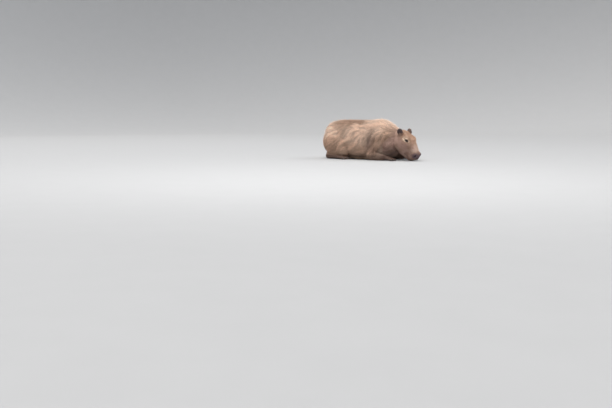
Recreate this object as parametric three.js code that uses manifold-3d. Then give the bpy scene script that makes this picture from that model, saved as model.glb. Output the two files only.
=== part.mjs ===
// A life-size adult capybara, lying on its belly with its legs folded and its head lowered until the chin
// rests on the floor. Millimetres, +Z up, +X towards the nose, +Y towards the animal's left.
// The origin is the middle of the outline's footprint, on the floor.
import * as THREE from "three";
import { mergeVertices } from "three/addons/utils/BufferGeometryUtils.js";
import Module from "manifold-3d";

const wasm = await Module();
wasm.setup();

// Driving dimensions
const GAP = 0.3; // between pieces that touch
const FLOOR_SIZE = 3000;
const EYE_RADIUS = 13;
const LID_THICKNESS = 2.6;
const EAR_HEIGHT = 58;
const EAR_WIDTH = 54;
const EAR_WALL = 3.2;
const POLL = { x: 318, y: -4, z: 256 }; // top of the skull, between the ears
const HEAD_PITCH = 44; // degrees that the muzzle points down
const HEAD_TURN = 4; // degrees that the head turns to its right
const NECK_BASE = { x: 178, z: 160, tilt: 2 };
const SIDES = { left: 1, right: -1 };
const CORE_DEPTH = 13; // from the tips of the coat down to the solid that the locks grow from
const LIMB_DEPTH = 8; // the same on the upper legs
const ROOT_DEPTH = 24; // from the tips of the coat down to a lock's root
const LOCK = { length: 134, width: 72, thickness: 10, row: 84, column: 65 };
const TRUNK_COAT = { front: 256, rows: 10, arc: [-48, 228], lowestRoot: 45, lowestTip: 25 };
const ARM_COAT = { rows: [1.7, 3.2], arc: [-70, 80], lie: { s: 1, angle: 0 }, size: 0.76 };
const THIGH_COAT = { rows: [2, 3, 4, 5], arc: [-40, 95], lie: { s: -0.25, angle: -0.55 }, size: 0.8 };
const LIMB_LOWEST_TIP = 62;
const SHARP = { tip: 10, root: 3, edge: 6, ridge: 1.4, base: 2.2 }; // how much more a lock's corners grow

const degrees = THREE.MathUtils.degToRad;
const point = (x, y, z) => new THREE.Vector3(x, y, z);
const mirrored = (v, side) => point(v.x, v.y * side, v.z);

// Catmull-Rom blend of rows of numbers, at s rows along
function blend(rows, s) {
  const last = rows.length - 1;
  const i = Math.min(Math.floor(s), last - 1);
  const t = s - i;
  return rows[i].map((b, k) => {
    const c = rows[i + 1][k];
    const a = i > 0 ? rows[i - 1][k] : 2 * b - c;
    const d = i + 2 <= last ? rows[i + 2][k] : 2 * c - b;
    return b + 0.5 * t * (c - a + t * (2 * a - 5 * b + 4 * c - d + t * (3 * (b - c) + d - a)));
  });
}

// A rounded body laid along the X axis of a frame. Each station is
// [along, top, bottom, level of the widest line, half width, squareness, sideways shift].
// A bump swells the surface outwards, or dents it if its height is negative.
class Form {
  constructor({ frame = new THREE.Matrix4(), stations, around = 20, along = 20, bumps = [] }) {
    Object.assign(this, { frame, stations, around, along, bumps });
    this.inverse = frame.clone().invert();
    this.last = stations.length - 1;
  }

  bare(s, angle) {
    const [x, top, bottom, widest, half, square, shift] = blend(this.stations, s);
    const power = 2 / square;
    const c = Math.cos(angle);
    const h = Math.sin(angle);
    const reach = h > 0 ? top - widest : widest - bottom;
    const y = shift + half * Math.sign(c) * Math.abs(c) ** power;
    return point(x, y, widest + reach * Math.sign(h) * Math.abs(h) ** power);
  }

  normal(s, angle) {
    const step = 0.02;
    if (s < step) return point(-1, 0, 0);
    if (s > this.last - step) return point(1, 0, 0);
    const ahead = this.bare(s + step, angle).sub(this.bare(s - step, angle));
    const round = this.bare(s, angle + step).sub(this.bare(s, angle - step));
    return round.cross(ahead).normalize();
  }

  local(s, angle, grow = 0) {
    const place = this.bare(s, angle);
    const swell = this.bumps.reduce((sum, bump) => {
      const far = place.distanceToSquared(bump.at) / bump.radius ** 2;
      return sum + bump.height * Math.exp(-far);
    }, grow);
    return place.addScaledVector(this.normal(s, angle), swell);
  }

  surface(s, angle, grow = 0) {
    return this.local(s, angle, grow).applyMatrix4(this.frame);
  }

  geometry(grow = 0) {
    const ball = new THREE.SphereGeometry(1, this.around, this.along);
    const at = ball.attributes.position;
    const v = new THREE.Vector3();
    for (let i = 0; i < at.count; i++) {
      v.fromBufferAttribute(at, i);
      const s = (Math.acos(THREE.MathUtils.clamp(v.y, -1, 1)) / Math.PI) * this.last;
      const angle = Math.hypot(v.x, v.z) < 1e-6 ? 0 : Math.atan2(v.z, v.x);
      v.copy(this.surface(s, angle, grow));
      at.setXYZ(i, v.x, v.y, v.z);
    }
    return ball;
  }

  // True if a point of the part lies inside, or nearer than margin to it
  holds(place, margin = 0) {
    const p = place.clone().applyMatrix4(this.inverse);
    const ends = [this.stations[0][0] - margin, this.stations[this.last][0] + margin];
    if (p.x < ends[0] || p.x > ends[1]) return false;
    const [, top, bottom, widest, half, square, shift] = blend(this.stations, stationAt(this, p.x));
    const reach = p.z > widest ? top - widest : widest - bottom;
    const across = Math.abs(p.y - shift) / (half + margin + 1e-6);
    const level = Math.abs(p.z - widest) / (reach + margin + 1e-6);
    return across ** square + level ** square < 1;
  }
}

// Place along a form at a distance from its first station
function stationAt(form, along) {
  let low = 0;
  let high = form.last;
  for (let turn = 0; turn < 20; turn++) {
    const middle = (low + high) / 2;
    if (blend(form.stations, middle)[0] < along) low = middle;
    else high = middle;
  }
  return low;
}

// A frame at one point that looks towards another, with its own Z as near up as it can be
function towards(from, to) {
  const ahead = to.clone().sub(from).normalize();
  const side = point(0, 0, 1).cross(ahead).normalize();
  const up = ahead.clone().cross(side);
  return new THREE.Matrix4().makeBasis(ahead, side, up).setPosition(from);
}

function solid(geometry) {
  const plain = geometry.clone();
  plain.deleteAttribute("normal");
  plain.deleteAttribute("uv");
  const merged = mergeVertices(plain, 1e-4);
  const triVerts = new Uint32Array(merged.index.array);
  const made = new wasm.Manifold(
    new wasm.Mesh({ numProp: 3, vertProperties: merged.attributes.position.array, triVerts }),
  );
  if (made.volume() >= 0) return made;
  for (let i = 0; i < triVerts.length; i += 3) {
    [triVerts[i + 1], triVerts[i + 2]] = [triVerts[i + 2], triVerts[i + 1]];
  }
  return new wasm.Manifold(
    new wasm.Mesh({ numProp: 3, vertProperties: merged.attributes.position.array, triVerts }),
  );
}

function geometryOf(made) {
  const mesh = made.getMesh();
  return new THREE.BufferGeometry()
    .setAttribute("position", new THREE.BufferAttribute(mesh.vertProperties, 3))
    .setIndex(new THREE.BufferAttribute(mesh.triVerts, 1));
}

const joined = (solids) => solids.reduce((all, next) => all.add(next));
const largest = (made) => made.decompose().reduce((a, b) => (a.volume() > b.volume() ? a : b));

// Trunk and neck in one piece, from the rump to the back of the skull
const TRUNK_STATIONS = [
  [-500, 178, 178, 178, 0, 2, 0],
  [-488, 236, 112, 168, 74, 2.2, 0],
  [-460, 290, 50, 154, 126, 2.5, 0],
  [-408, 324, 10, 144, 158, 2.6, 0],
  [-318, 334, -8, 136, 176, 2.5, 0],
  [-216, 335, -13, 132, 184, 2.4, 0],
  [-109, 333, -15, 130, 185, 2.4, 0],
  [-1, 337, -15, 130, 180, 2.4, 0],
  [78, 338, -11, 132, 169, 2.3, 0],
  [134, 318, -2, 138, 154, 2.2, 0],
  [186, 290, 18, 144, 136, 2.2, 0],
  [232, 266, 46, 150, 114, 2.1, -1],
  [268, 246, 84, 158, 86, 2.1, -3],
  [292, 216, 122, 166, 52, 2, -5],
  [302, 170, 170, 170, 0, 2, -6],
];
const trunk = new Form({ stations: TRUNK_STATIONS, around: 22, along: 26 });

// Skull, cheeks and muzzle, in the head's own frame: X towards the nose, Z towards the forehead
const headFrame = new THREE.Matrix4()
  .makeTranslation(POLL.x, POLL.y, POLL.z)
  .multiply(new THREE.Matrix4().makeRotationZ(degrees(-HEAD_TURN)))
  .multiply(new THREE.Matrix4().makeRotationY(degrees(HEAD_PITCH)));
const pair = (x, y, z, radius, height) =>
  [1, -1].map((side) => ({ at: point(x, y * side, z), radius, height }));

const HEAD_STATIONS = [
  [-34, -70, -70, -70, 0, 2, 0],
  [-24, -30, -116, -76, 44, 2.1, 0],
  [-4, -12, -144, -82, 63, 2.3, 0],
  [24, -2, -158, -88, 75, 2.4, 0],
  [54, 5, -164, -92, 79, 2.5, 0],
  [84, 9, -161, -90, 75, 2.6, 0],
  [112, 7, -154, -84, 65, 2.7, 0],
  [138, -1, -147, -80, 57, 2.8, 0],
  [166, -12, -139, -77, 51, 2.9, 0],
  [196, -25, -128, -78, 48, 3, 0],
  [222, -33, -122, -80, 47, 3.1, 0],
  [240, -41, -117, -82, 43, 3, 0],
  [250, -53, -109, -83, 33, 2.6, 0],
  [254, -68, -98, -84, 17, 2.2, 0],
  [255, -84, -84, -84, 0, 2, 0],
];
const skull = new Form({
  frame: headFrame,
  stations: HEAD_STATIONS,
  around: 24,
  along: 22,
  bumps: [
    ...pair(62, 74, -108, 38, 5),
    ...pair(104, 52, 0, 26, 8),
    ...pair(226, 44, -96, 26, 4),
    ...pair(150, 50, -56, 26, -4),
    ...pair(234, 28, -46, 15, 5),
  ],
});

const JAW_STATIONS = [
  [36, -135, -135, -135, 0, 2, 0],
  [46, -104, -161, -134, 38, 2.1, 0],
  [74, -100, -170, -136, 50, 2.2, 0],
  [106, -98, -168, -134, 49, 2.3, 0],
  [138, -96, -162, -130, 44, 2.3, 0],
  [170, -98, -156, -126, 41, 2.4, 0],
  [200, -98, -149, -121, 39, 2.5, 0],
  [223, -100, -141, -119, 33, 2.4, 0],
  [235, -107, -132, -119, 19, 2.2, 0],
  [239, -120, -120, -120, 0, 2, 0],
];
const jaw = new Form({ frame: headFrame, stations: JAW_STATIONS, around: 16, along: 13 });

// Legs: each form runs from one joint towards the next
const THIGH_STATIONS = [
  [-14, 0, 0, 0, 0, 2, 0],
  [0, 56, -56, 0, 32, 2.1, 0],
  [42, 98, -98, 0, 54, 2.2, 0],
  [104, 114, -112, 0, 64, 2.2, 0],
  [166, 104, -102, 0, 63, 2.2, 0],
  [224, 78, -76, 0, 53, 2.2, 0],
  [264, 47, -46, 0, 35, 2.1, 0],
  [278, 0, 0, 0, 0, 2, 0],
];
const SHANK_STATIONS = [
  [-36, 0, 0, 0, 0, 2, 0],
  [-26, 26, -26, 0, 22, 2, 0],
  [10, 41, -39, 0, 33, 2.1, 0],
  [80, 35, -35, 0, 29, 2.1, 0],
  [146, 26, -26, 0, 23, 2, 0],
  [182, 20, -22, 0, 19, 2, 0],
  [196, 0, 0, 0, 0, 2, 0],
];
const HIND_FOOT_STATIONS = [
  [-18, 0, 0, 0, 0, 2, 0],
  [-9, 20, -20, 0, 15, 2.2, 0],
  [16, 26, -27, 0, 21, 2.3, 0],
  [74, 19, -21, 0, 22, 2.4, 0],
  [128, 16, -17, 0, 28, 2.4, 0],
  [160, 14, -15, 0, 34, 2.4, 0],
  [182, 11, -13, 0, 29, 2.4, 0],
  [192, 0, 0, 0, 0, 2, 0],
];
const UPPER_ARM_STATIONS = [
  [-44, 0, 0, 0, 0, 2, 0],
  [-30, 44, -44, 0, 24, 2.1, 0],
  [6, 76, -72, 0, 42, 2.2, 0],
  [66, 80, -74, 0, 49, 2.2, 0],
  [120, 64, -60, 0, 46, 2.2, 0],
  [164, 47, -44, 0, 38, 2.1, 0],
  [196, 31, -29, 0, 27, 2, 0],
  [206, 0, 0, 0, 0, 2, 0],
];
const FOREARM_STATIONS = [
  [-32, 0, 0, 0, 0, 2, 0],
  [-22, 24, -24, 0, 22, 2, 0],
  [10, 38, -38, 0, 34, 2.1, 0],
  [66, 33, -35, 0, 29, 2.1, 0],
  [112, 24, -26, 0, 23, 2.1, 0],
  [140, 20, -22, 0, 21, 2.1, 0],
  [152, 0, 0, 0, 0, 2, 0],
];
const FORE_FOOT_STATIONS = [
  [-13, 0, 0, 0, 0, 2, 0],
  [-5, 14, -15, 0, 17, 2.2, 0],
  [18, 18, -18, 0, 25, 2.3, 0],
  [46, 14, -15, 0, 32, 2.4, 0],
  [64, 11, -12, 0, 29, 2.4, 0],
  [74, 0, 0, 0, 0, 2, 0],
];
const TOE_STATIONS = [
  [0, 0, 0, 0, 0, 2, 0],
  [0.08, 0.8, -0.8, 0, 0.8, 2, 0],
  [0.42, 0.9, -0.95, 0, 0.95, 2.2, 0],
  [0.74, 1, -1, 0, 1.05, 2.4, 0],
  [0.95, 0.7, -0.8, 0, 0.8, 2.2, 0],
  [1, 0, 0, 0, 0, 2, 0],
];

// Where the joints of a left leg lie; the right leg mirrors them
const JOINTS = {
  hip: point(-440, 121, 186),
  kneeTop: point(-186, 162, 76),
  knee: point(-196, 170, 62),
  hock: point(-366, 172, 44),
  heel: point(-374, 180, 27),
  ball: point(-200, 192, 16),
  shoulder: point(146, 106, 226),
  elbow: point(78, 146, 58),
  elbowPoint: point(66, 152, 41),
  wrist: point(212, 134, 24),
  paw: point(282, 126, 14),
};
const HIND_TOES = {
  splay: [-13, 0, 13],
  length: [46, 56, 46],
  width: 13,
  out: [-20, 0, 20],
  ahead: 172,
  nail: { radius: 11.5, length: 25 },
};
const FORE_TOES = {
  splay: [-24, -8, 8, 24],
  length: [31, 39, 39, 31],
  width: 10.5,
  out: [-22, -8, 8, 22],
  ahead: 50,
  nail: { radius: 9.2, length: 19 },
};

function limb(from, to, side, stations, around, along) {
  const frame = towards(mirrored(JOINTS[from], side), mirrored(JOINTS[to], side));
  return new Form({ frame, stations, around, along });
}

// Toes fan out from the end of a foot, each with a blunt nail at its tip
function toesOf(foot, toes) {
  return toes.splay.map((turn, i) => {
    const frame = foot.frame
      .clone()
      .multiply(new THREE.Matrix4().makeTranslation(toes.ahead, toes.out[i], -2))
      .multiply(new THREE.Matrix4().makeRotationZ(degrees(turn)));
    const size = [toes.length[i], toes.width, toes.width, toes.width, toes.width, 1, 1];
    const stations = TOE_STATIONS.map((row) => row.map((n, k) => n * size[k]));
    return new Form({ frame, stations, around: 6, along: 5 });
  });
}

function nail(toe, { radius, length }, grow = 0) {
  const width = radius + grow;
  const reach = length + 2 * grow;
  const cone = new THREE.ConeGeometry(1, 1, 7, 3);
  const at = cone.attributes.position;
  const tip = toe.stations[toe.last][0];
  const v = new THREE.Vector3();
  for (let i = 0; i < at.count; i++) {
    v.fromBufferAttribute(at, i);
    const rise = v.y + 0.5;
    const t = 1 - (1 - rise) ** 2;
    const scale = rise > 0.999 ? 0 : (width * Math.sqrt(1 - t ** 4)) / (1 - rise);
    v.set(tip + reach * (t - 0.36), v.x * scale, v.z * scale * 0.75 - t * t * width * 0.3);
    v.applyMatrix4(toe.frame);
    at.setXYZ(i, v.x, v.y, v.z);
  }
  return cone;
}

function leg(side) {
  const thigh = limb("hip", "kneeTop", side, THIGH_STATIONS, 16, 12);
  const shank = limb("knee", "hock", side, SHANK_STATIONS, 8, 7);
  const hindFoot = limb("heel", "ball", side, HIND_FOOT_STATIONS, 8, 7);
  const upperArm = limb("shoulder", "elbow", side, UPPER_ARM_STATIONS, 14, 10);
  const forearm = limb("elbowPoint", "wrist", side, FOREARM_STATIONS, 8, 7);
  const foreFoot = limb("wrist", "paw", side, FORE_FOOT_STATIONS, 8, 6);
  return { thigh, shank, hindFoot, upperArm, forearm, foreFoot };
}

// The eye sits in its socket, under two lids with an almond opening between them
const EYE = { x: 106, y: 49, z: -22, outward: 72, tilt: 10 };
const LID_OPENING = { half: 13.5, upper: 17, lower: 14, depth: 40 };
const NOSTRIL = { x: 247, y: 22, z: -66, turn: 35, size: [8, 4, 9] };

function eyeFrame(side) {
  return headFrame
    .clone()
    .multiply(new THREE.Matrix4().makeTranslation(EYE.x, EYE.y * side, EYE.z))
    .multiply(new THREE.Matrix4().makeRotationZ(degrees(EYE.outward) * side))
    .multiply(new THREE.Matrix4().makeRotationY(degrees(-EYE.tilt)));
}

function ball(radius, side, around = 10, along = 8) {
  return new THREE.SphereGeometry(radius, around, along).applyMatrix4(eyeFrame(side));
}

function lidOpening(side) {
  const { half, upper, lower, depth } = LID_OPENING;
  const almond = new THREE.Shape();
  almond.moveTo(-half, 0);
  almond.quadraticCurveTo(0, upper, half, 0);
  almond.quadraticCurveTo(0, -lower, -half, 0);
  const bar = new THREE.ExtrudeGeometry(almond, { depth, bevelEnabled: false, curveSegments: 5 });
  bar.rotateX(Math.PI / 2).rotateZ(Math.PI / 2);
  return bar.applyMatrix4(eyeFrame(side));
}

// The ear is a leaf with a hollow front, set behind the poll and turned outwards
const EAR = { x: 37, y: 52, z: -32, out: 36, back: 52, turn: 50 };
const CUP_FORWARD = 4; // how far the hollow lies ahead of the leaf's middle

function earFrame(side) {
  return headFrame
    .clone()
    .multiply(new THREE.Matrix4().makeTranslation(EAR.x, EAR.y * side, EAR.z))
    .multiply(new THREE.Matrix4().makeRotationX(degrees(-EAR.out) * side))
    .multiply(new THREE.Matrix4().makeRotationY(degrees(-EAR.back)))
    .multiply(new THREE.Matrix4().makeRotationZ(degrees(EAR.turn) * side));
}

function leaf(side, wall) {
  const shape = new THREE.SphereGeometry(1, 10, 8);
  const at = shape.attributes.position;
  for (let i = 0; i < at.count; i++) {
    const [across, up, through] = [at.getX(i), at.getY(i), at.getZ(i)];
    const rise = (up + 1) / 2;
    const width = (EAR_WIDTH / 2 - wall) * (0.72 + 0.5 * rise - 0.2 * rise * rise);
    const lean = 10 * rise * rise;
    const depth = through * (12 - wall + 9 * (1 - rise) ** 2);
    at.setXYZ(i, depth - lean + wall * 2.4, across * width, rise * (EAR_HEIGHT - wall * 2) + wall);
  }
  return shape.applyMatrix4(earFrame(side));
}

function ear(side) {
  const ahead = point(1, 0, 0).transformDirection(earFrame(side)).multiplyScalar(CUP_FORWARD);
  return solid(leaf(side, 0)).subtract(solid(leaf(side, EAR_WALL)).translate(ahead.toArray()));
}

// All that lies ahead of the plane where the neck meets the torso
function aheadOfShoulders(grow) {
  const box = new THREE.BoxGeometry(FLOOR_SIZE, FLOOR_SIZE, FLOOR_SIZE);
  box.translate(FLOOR_SIZE / 2 - grow, 0, 0);
  box.rotateY(degrees(-NECK_BASE.tilt));
  return solid(box.translate(NECK_BASE.x, 0, NECK_BASE.z));
}

const belowFloor = solid(
  new THREE.BoxGeometry(FLOOR_SIZE, FLOOR_SIZE, FLOOR_SIZE).translate(0, 0, -FLOOR_SIZE / 2),
);

// Locks of the long coat
function seeded(seed) {
  let state = seed;
  return () => {
    state = (state * 1664525 + 1013904223) % 4294967296;
    return state / 4294967296;
  };
}
const random = seeded(11);
const vary = (spread) => 1 + spread * (2 * random() - 1);

// A flat lock with three sides. It follows its form from a root below the surface to a tip that lies
// free on the outline, and it bends with the form and to one side.
function lockSolid({ form, from, to, width, bend }, grow = 0) {
  const cone = new THREE.ConeGeometry(1, 1, 3, 3);
  const at = cone.attributes.position;
  const place = (t) => {
    const s = THREE.MathUtils.lerp(from.s, to.s, t);
    const angle = THREE.MathUtils.lerp(from.angle, to.angle, t) + bend * t * t;
    const height = -ROOT_DEPTH * (1 - t) ** 2;
    return [s, angle, form.surface(s, angle, height)];
  };
  const v = new THREE.Vector3();
  for (let i = 0; i < at.count; i++) {
    v.fromBufferAttribute(at, i);
    const t = v.y + 0.5;
    const tip = t > 0.999;
    const [s, angle, here] = place(t);
    const ahead = place(t + 0.04)[2].sub(place(t - 0.04)[2]).normalize();
    const out = form.normal(s, angle).transformDirection(form.frame);
    const side = ahead.clone().cross(out).normalize();
    const ring = tip ? 0 : 1 / (1 - t);
    const taper = (0.75 + 0.6 * t) * (1 - t ** 2.4);
    if (tip) here.addScaledVector(here.clone().sub(place(2 / 3)[2]).normalize(), SHARP.tip * grow);
    if (t < 0.001) here.addScaledVector(ahead, -SHARP.root * grow);
    const lift = (v.z > 0 ? SHARP.ridge : SHARP.base) * grow;
    here.addScaledVector(side, v.x * ring * ((width / Math.sqrt(3)) * taper + SHARP.edge * grow));
    here.addScaledVector(out, v.z * ring * (LOCK.thickness * taper + lift));
    at.setXYZ(i, here.x, here.y, here.z);
  }
  return solid(cone);
}

// Walks along a form by a length measured on its surface, and returns the place reached
function walk(form, from, heading, length) {
  const step = 0.04;
  const place = { ...from };
  let left = length;
  let here = form.surface(place.s, place.angle);
  while (left > 0 && place.s > 0.5 && place.s < form.last - 0.5) {
    place.s += step * heading.s;
    place.angle += step * heading.angle;
    const next = form.surface(place.s, place.angle);
    left -= here.distanceTo(next);
    here = next;
  }
  return place;
}

// Angles spread evenly by girth over an arc of a form's section
function spread(form, s, arc, pitch, shift) {
  const steps = 90;
  const [first, last] = arc.map(degrees);
  const angles = Array.from({ length: steps + 1 }, (_, i) => first + ((last - first) * i) / steps);
  const spots = angles.map((angle) => form.surface(s, angle));
  const reach = [0];
  for (let i = 1; i <= steps; i++) reach.push(reach[i - 1] + spots[i].distanceTo(spots[i - 1]));
  const count = Math.max(1, Math.round(reach[steps] / pitch));
  return Array.from({ length: count }, (_, k) => {
    const goal = (reach[steps] * (k + shift)) / count;
    const i = reach.findIndex((far) => far >= goal);
    return angles[Math.max(0, i)];
  });
}

function lockAt(form, from, heading, size = 1) {
  const to = walk(form, from, heading, LOCK.length * size * vary(0.15));
  return { form, from, to, width: LOCK.width * size * vary(0.12), bend: 0.06 * (random() - 0.5) };
}

// Rows from the back of the skull to the rump. The locks lie towards the tail, and downwards on the flanks.
function trunkLocks(hidden) {
  const locks = [];
  for (let row = 0; row < TRUNK_COAT.rows; row++) {
    const s = stationAt(trunk, TRUNK_COAT.front - row * LOCK.row);
    for (const angle of spread(trunk, s, TRUNK_COAT.arc, LOCK.column, row % 2 ? 0.3 : 0.8)) {
      const from = { s: s + 0.25 * (random() - 0.5), angle: angle + 0.08 * (random() - 0.5) };
      const heading = { s: -1, angle: -0.14 * Math.cos(angle) };
      const made = lockAt(trunk, from, heading);
      const [root, tip] = [trunk.surface(from.s, from.angle), trunk.surface(made.to.s, made.to.angle)];
      const high = root.z > TRUNK_COAT.lowestRoot && tip.z > TRUNK_COAT.lowestTip;
      if (high && !hidden(root)) locks.push(made);
    }
  }
  return locks;
}

// Rows down the outer side of a limb
function limbLocks(form, side, { rows, arc, lie, size }, hidden) {
  const outer = form.surface(2, 0).y * side > form.surface(2, Math.PI).y * side ? 0 : Math.PI;
  const turn = outer ? -1 : 1;
  const locks = [];
  rows.forEach((s, row) => {
    const shift = row % 2 ? 0.25 : 0.75;
    for (const angle of spread(form, s, arc, LOCK.column * size, shift)) {
      const from = { s: s + 0.15 * (random() - 0.5), angle: outer + turn * angle };
      const made = lockAt(form, from, { s: lie.s, angle: turn * lie.angle }, size);
      const free = form.surface(made.to.s, made.to.angle).z > LIMB_LOWEST_TIP;
      if (free && !hidden(form.surface(from.s, from.angle))) locks.push(made);
    }
  });
  return locks;
}

function coated(core, locks, grow) {
  return joined([core, ...locks.map((one) => lockSolid(one, grow))]);
}

// Materials
const look = (color, roughness) => new THREE.MeshStandardMaterial({ color, roughness, metalness: 0 });
const MATERIALS = {
  coat: look(0xad8d77, 0.85),
  skin: look(0x5a4a4c, 0.6),
  eye: look(0x1c1310, 0.1),
  nail: look(0x3a322d, 0.5),
};

const capybara = new THREE.Group();
const placed = [];
const FOOTPRINT_SHIFT = 18; // brings the middle of the footprint over the origin
capybara.position.set(FOOTPRINT_SHIFT, 0, 0);

// Adds a node, cut clear of the floor and of the nodes that were placed before it
function place(name, made, material, grown) {
  const near = placed.filter((other) => overlaps(made, other.grown));
  const cut = near.reduce((left, other) => left.subtract(other.grown), made.subtract(belowFloor));
  const kept = largest(cut);
  const mesh = new THREE.Mesh(geometryOf(kept), MATERIALS[material]);
  mesh.name = name;
  capybara.add(mesh);
  placed.push({ name, grown });
}

function overlaps(a, b) {
  const [p, q] = [a.boundingBox(), b.boundingBox()];
  return [0, 1, 2].every((k) => p.min[k] < q.max[k] && q.min[k] < p.max[k]);
}

const lidBall = (side, grow) => solid(ball(EYE_RADIUS + LID_THICKNESS + grow, side, 14, 10));
const nostril = (side) =>
  solid(
    new THREE.SphereGeometry(1, 8, 6)
      .scale(...NOSTRIL.size)
      .rotateX(degrees(NOSTRIL.turn) * side)
      .translate(NOSTRIL.x, NOSTRIL.y * side, NOSTRIL.z)
      .applyMatrix4(headFrame),
  );

function headSolid(grow) {
  const lids = Object.values(SIDES).map((side) => lidBall(side, grow));
  return joined([solid(skull.geometry(grow)), ...lids]);
}

const carvedHead = () =>
  Object.values(SIDES).reduce(
    (head, side) => head.subtract(solid(lidOpening(side))).subtract(nostril(side)),
    headSolid(0),
  );

for (const [name, side] of Object.entries(SIDES)) {
  place(`eye_${name}`, solid(ball(EYE_RADIUS, side)), "eye", solid(ball(EYE_RADIUS + GAP, side)));
}
place("head", carvedHead(), "coat", headSolid(GAP));
place("lower_jaw", solid(jaw.geometry()), "coat", solid(jaw.geometry(GAP)));
for (const [name, side] of Object.entries(SIDES)) {
  place(`ear_${name}`, ear(side), "skin", solid(leaf(side, -GAP)));
}

const legs = { left: leg(SIDES.left), right: leg(SIDES.right) };
const limbs = Object.values(legs).flatMap(({ thigh, upperArm }) => [thigh, upperArm]);
const underLimb = (place) => limbs.some((form) => form.holds(place, 12)) || skull.holds(place, 6);
const locks = trunkLocks(underLimb);
const isNeck = ({ from }) => trunk.surface(from.s, from.angle).x > NECK_BASE.x + 10;
const neckLocks = locks.filter(isNeck);
const torsoLocks = locks.filter((one) => !isNeck(one));

const core = (grow) => solid(trunk.geometry(grow - CORE_DEPTH));
const neck = (grow) => coated(core(grow).intersect(aheadOfShoulders(grow)), neckLocks, grow);
const torso = (grow) => coated(core(grow), torsoLocks, grow);
place("neck", neck(0), "coat", neck(GAP));
for (const [name, side] of Object.entries(SIDES)) {
  const { thigh, upperArm } = legs[name];
  const inTrunk = (place) => trunk.holds(place, -4);
  const armLocks = limbLocks(upperArm, side, ARM_COAT, inTrunk);
  const thighLocks = limbLocks(thigh, side, THIGH_COAT, inTrunk);
  const arm = (grow) => coated(solid(upperArm.geometry(grow - LIMB_DEPTH)), armLocks, grow);
  const haunch = (grow) => coated(solid(thigh.geometry(grow - LIMB_DEPTH)), thighLocks, grow);
  place(`upper_arm_${name}`, arm(0), "coat", arm(GAP));
  place(`thigh_${name}`, haunch(0), "coat", haunch(GAP));
}
place("torso", torso(0), "coat", torso(GAP));

for (const [name, side] of Object.entries(SIDES)) {
  const { shank, forearm, hindFoot, foreFoot } = legs[name];
  for (const [part, form] of Object.entries({ shank, forearm })) {
    place(`${part}_${name}`, solid(form.geometry()), "coat", solid(form.geometry(GAP)));
  }
  const feet = [
    ["hind", hindFoot, HIND_TOES],
    ["fore", foreFoot, FORE_TOES],
  ];
  for (const [end, foot, toes] of feet) {
    const forms = toesOf(foot, toes);
    forms.forEach((toe, i) => {
      const grown = solid(nail(toe, toes.nail, GAP));
      place(`${end}_nail_${name}_${i + 1}`, solid(nail(toe, toes.nail)), "nail", grown);
    });
    const whole = (grow) => joined([foot, ...forms].map((form) => solid(form.geometry(grow))));
    place(`${end}_foot_${name}`, whole(0), "coat", whole(GAP));
  }
}

export default capybara;
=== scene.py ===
# An adult capybara at rest, life size: its skin, coat, eyes, nails and whiskers, on a pale studio floor.
# Sizes are millimetres in the part's own frame and become metres where a mesh is made.
# +X points towards the nose, +Y to the animal's left and +Z up, with the floor at 0.
import math

import bpy
import numpy as np
from mathutils import Matrix, Vector, noise
from mathutils.bvhtree import BVHTree
from mathutils.kdtree import KDTree


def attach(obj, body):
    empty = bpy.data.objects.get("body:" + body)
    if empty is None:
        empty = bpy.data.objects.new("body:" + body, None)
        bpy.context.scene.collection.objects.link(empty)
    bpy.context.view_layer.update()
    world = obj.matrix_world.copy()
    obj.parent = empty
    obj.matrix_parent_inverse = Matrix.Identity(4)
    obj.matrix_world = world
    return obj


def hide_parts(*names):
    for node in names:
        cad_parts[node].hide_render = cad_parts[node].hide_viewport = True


MM = 0.001
SIDES = {"left": 1, "right": -1}
FOOTPRINT_SHIFT = 18
SHIFT = np.array([FOOTPRINT_SHIFT, 0, 0])

# Head
POLL = (318 + FOOTPRINT_SHIFT, -4, 256)
HEAD_PITCH = 44
HEAD_TURN = 4
EYE = {"x": 106, "y": 49, "z": -22, "outward": 72, "tilt": 10}
EYE_RADIUS = 13
LID_THICKNESS = 1.7
LID_SHAPE = (1, 1.16, 1.0)
EAR = {"x": 37, "y": 52, "z": -32, "out": 36, "back": 52, "turn": 50}
EAR_HEIGHT = 58
EAR_WIDTH = 54
EAR_WALL = 3.2

# Coat: how far the skin lies under the tips
COAT_DEPTH = {"trunk": 12, "skull": 2.4, "jaw": 2.2, "thigh": 8, "upper_arm": 8}
LOW_LEG_DEPTH = 1.6
VOXEL = 4.4
COVERED_SHARE = 0.3  # of the faces stay where long hair hides the skin
CREASE_ANGLE = math.radians(50)

rng = np.random.default_rng(7)

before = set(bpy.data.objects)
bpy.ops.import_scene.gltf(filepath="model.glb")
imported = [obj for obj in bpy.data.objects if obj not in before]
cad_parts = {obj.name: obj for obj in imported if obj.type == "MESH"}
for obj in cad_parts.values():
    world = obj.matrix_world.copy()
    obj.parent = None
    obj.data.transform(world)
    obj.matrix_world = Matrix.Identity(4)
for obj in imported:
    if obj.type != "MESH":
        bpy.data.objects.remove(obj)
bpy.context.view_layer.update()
bpy.ops.object.select_all(action="DESELECT")


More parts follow.
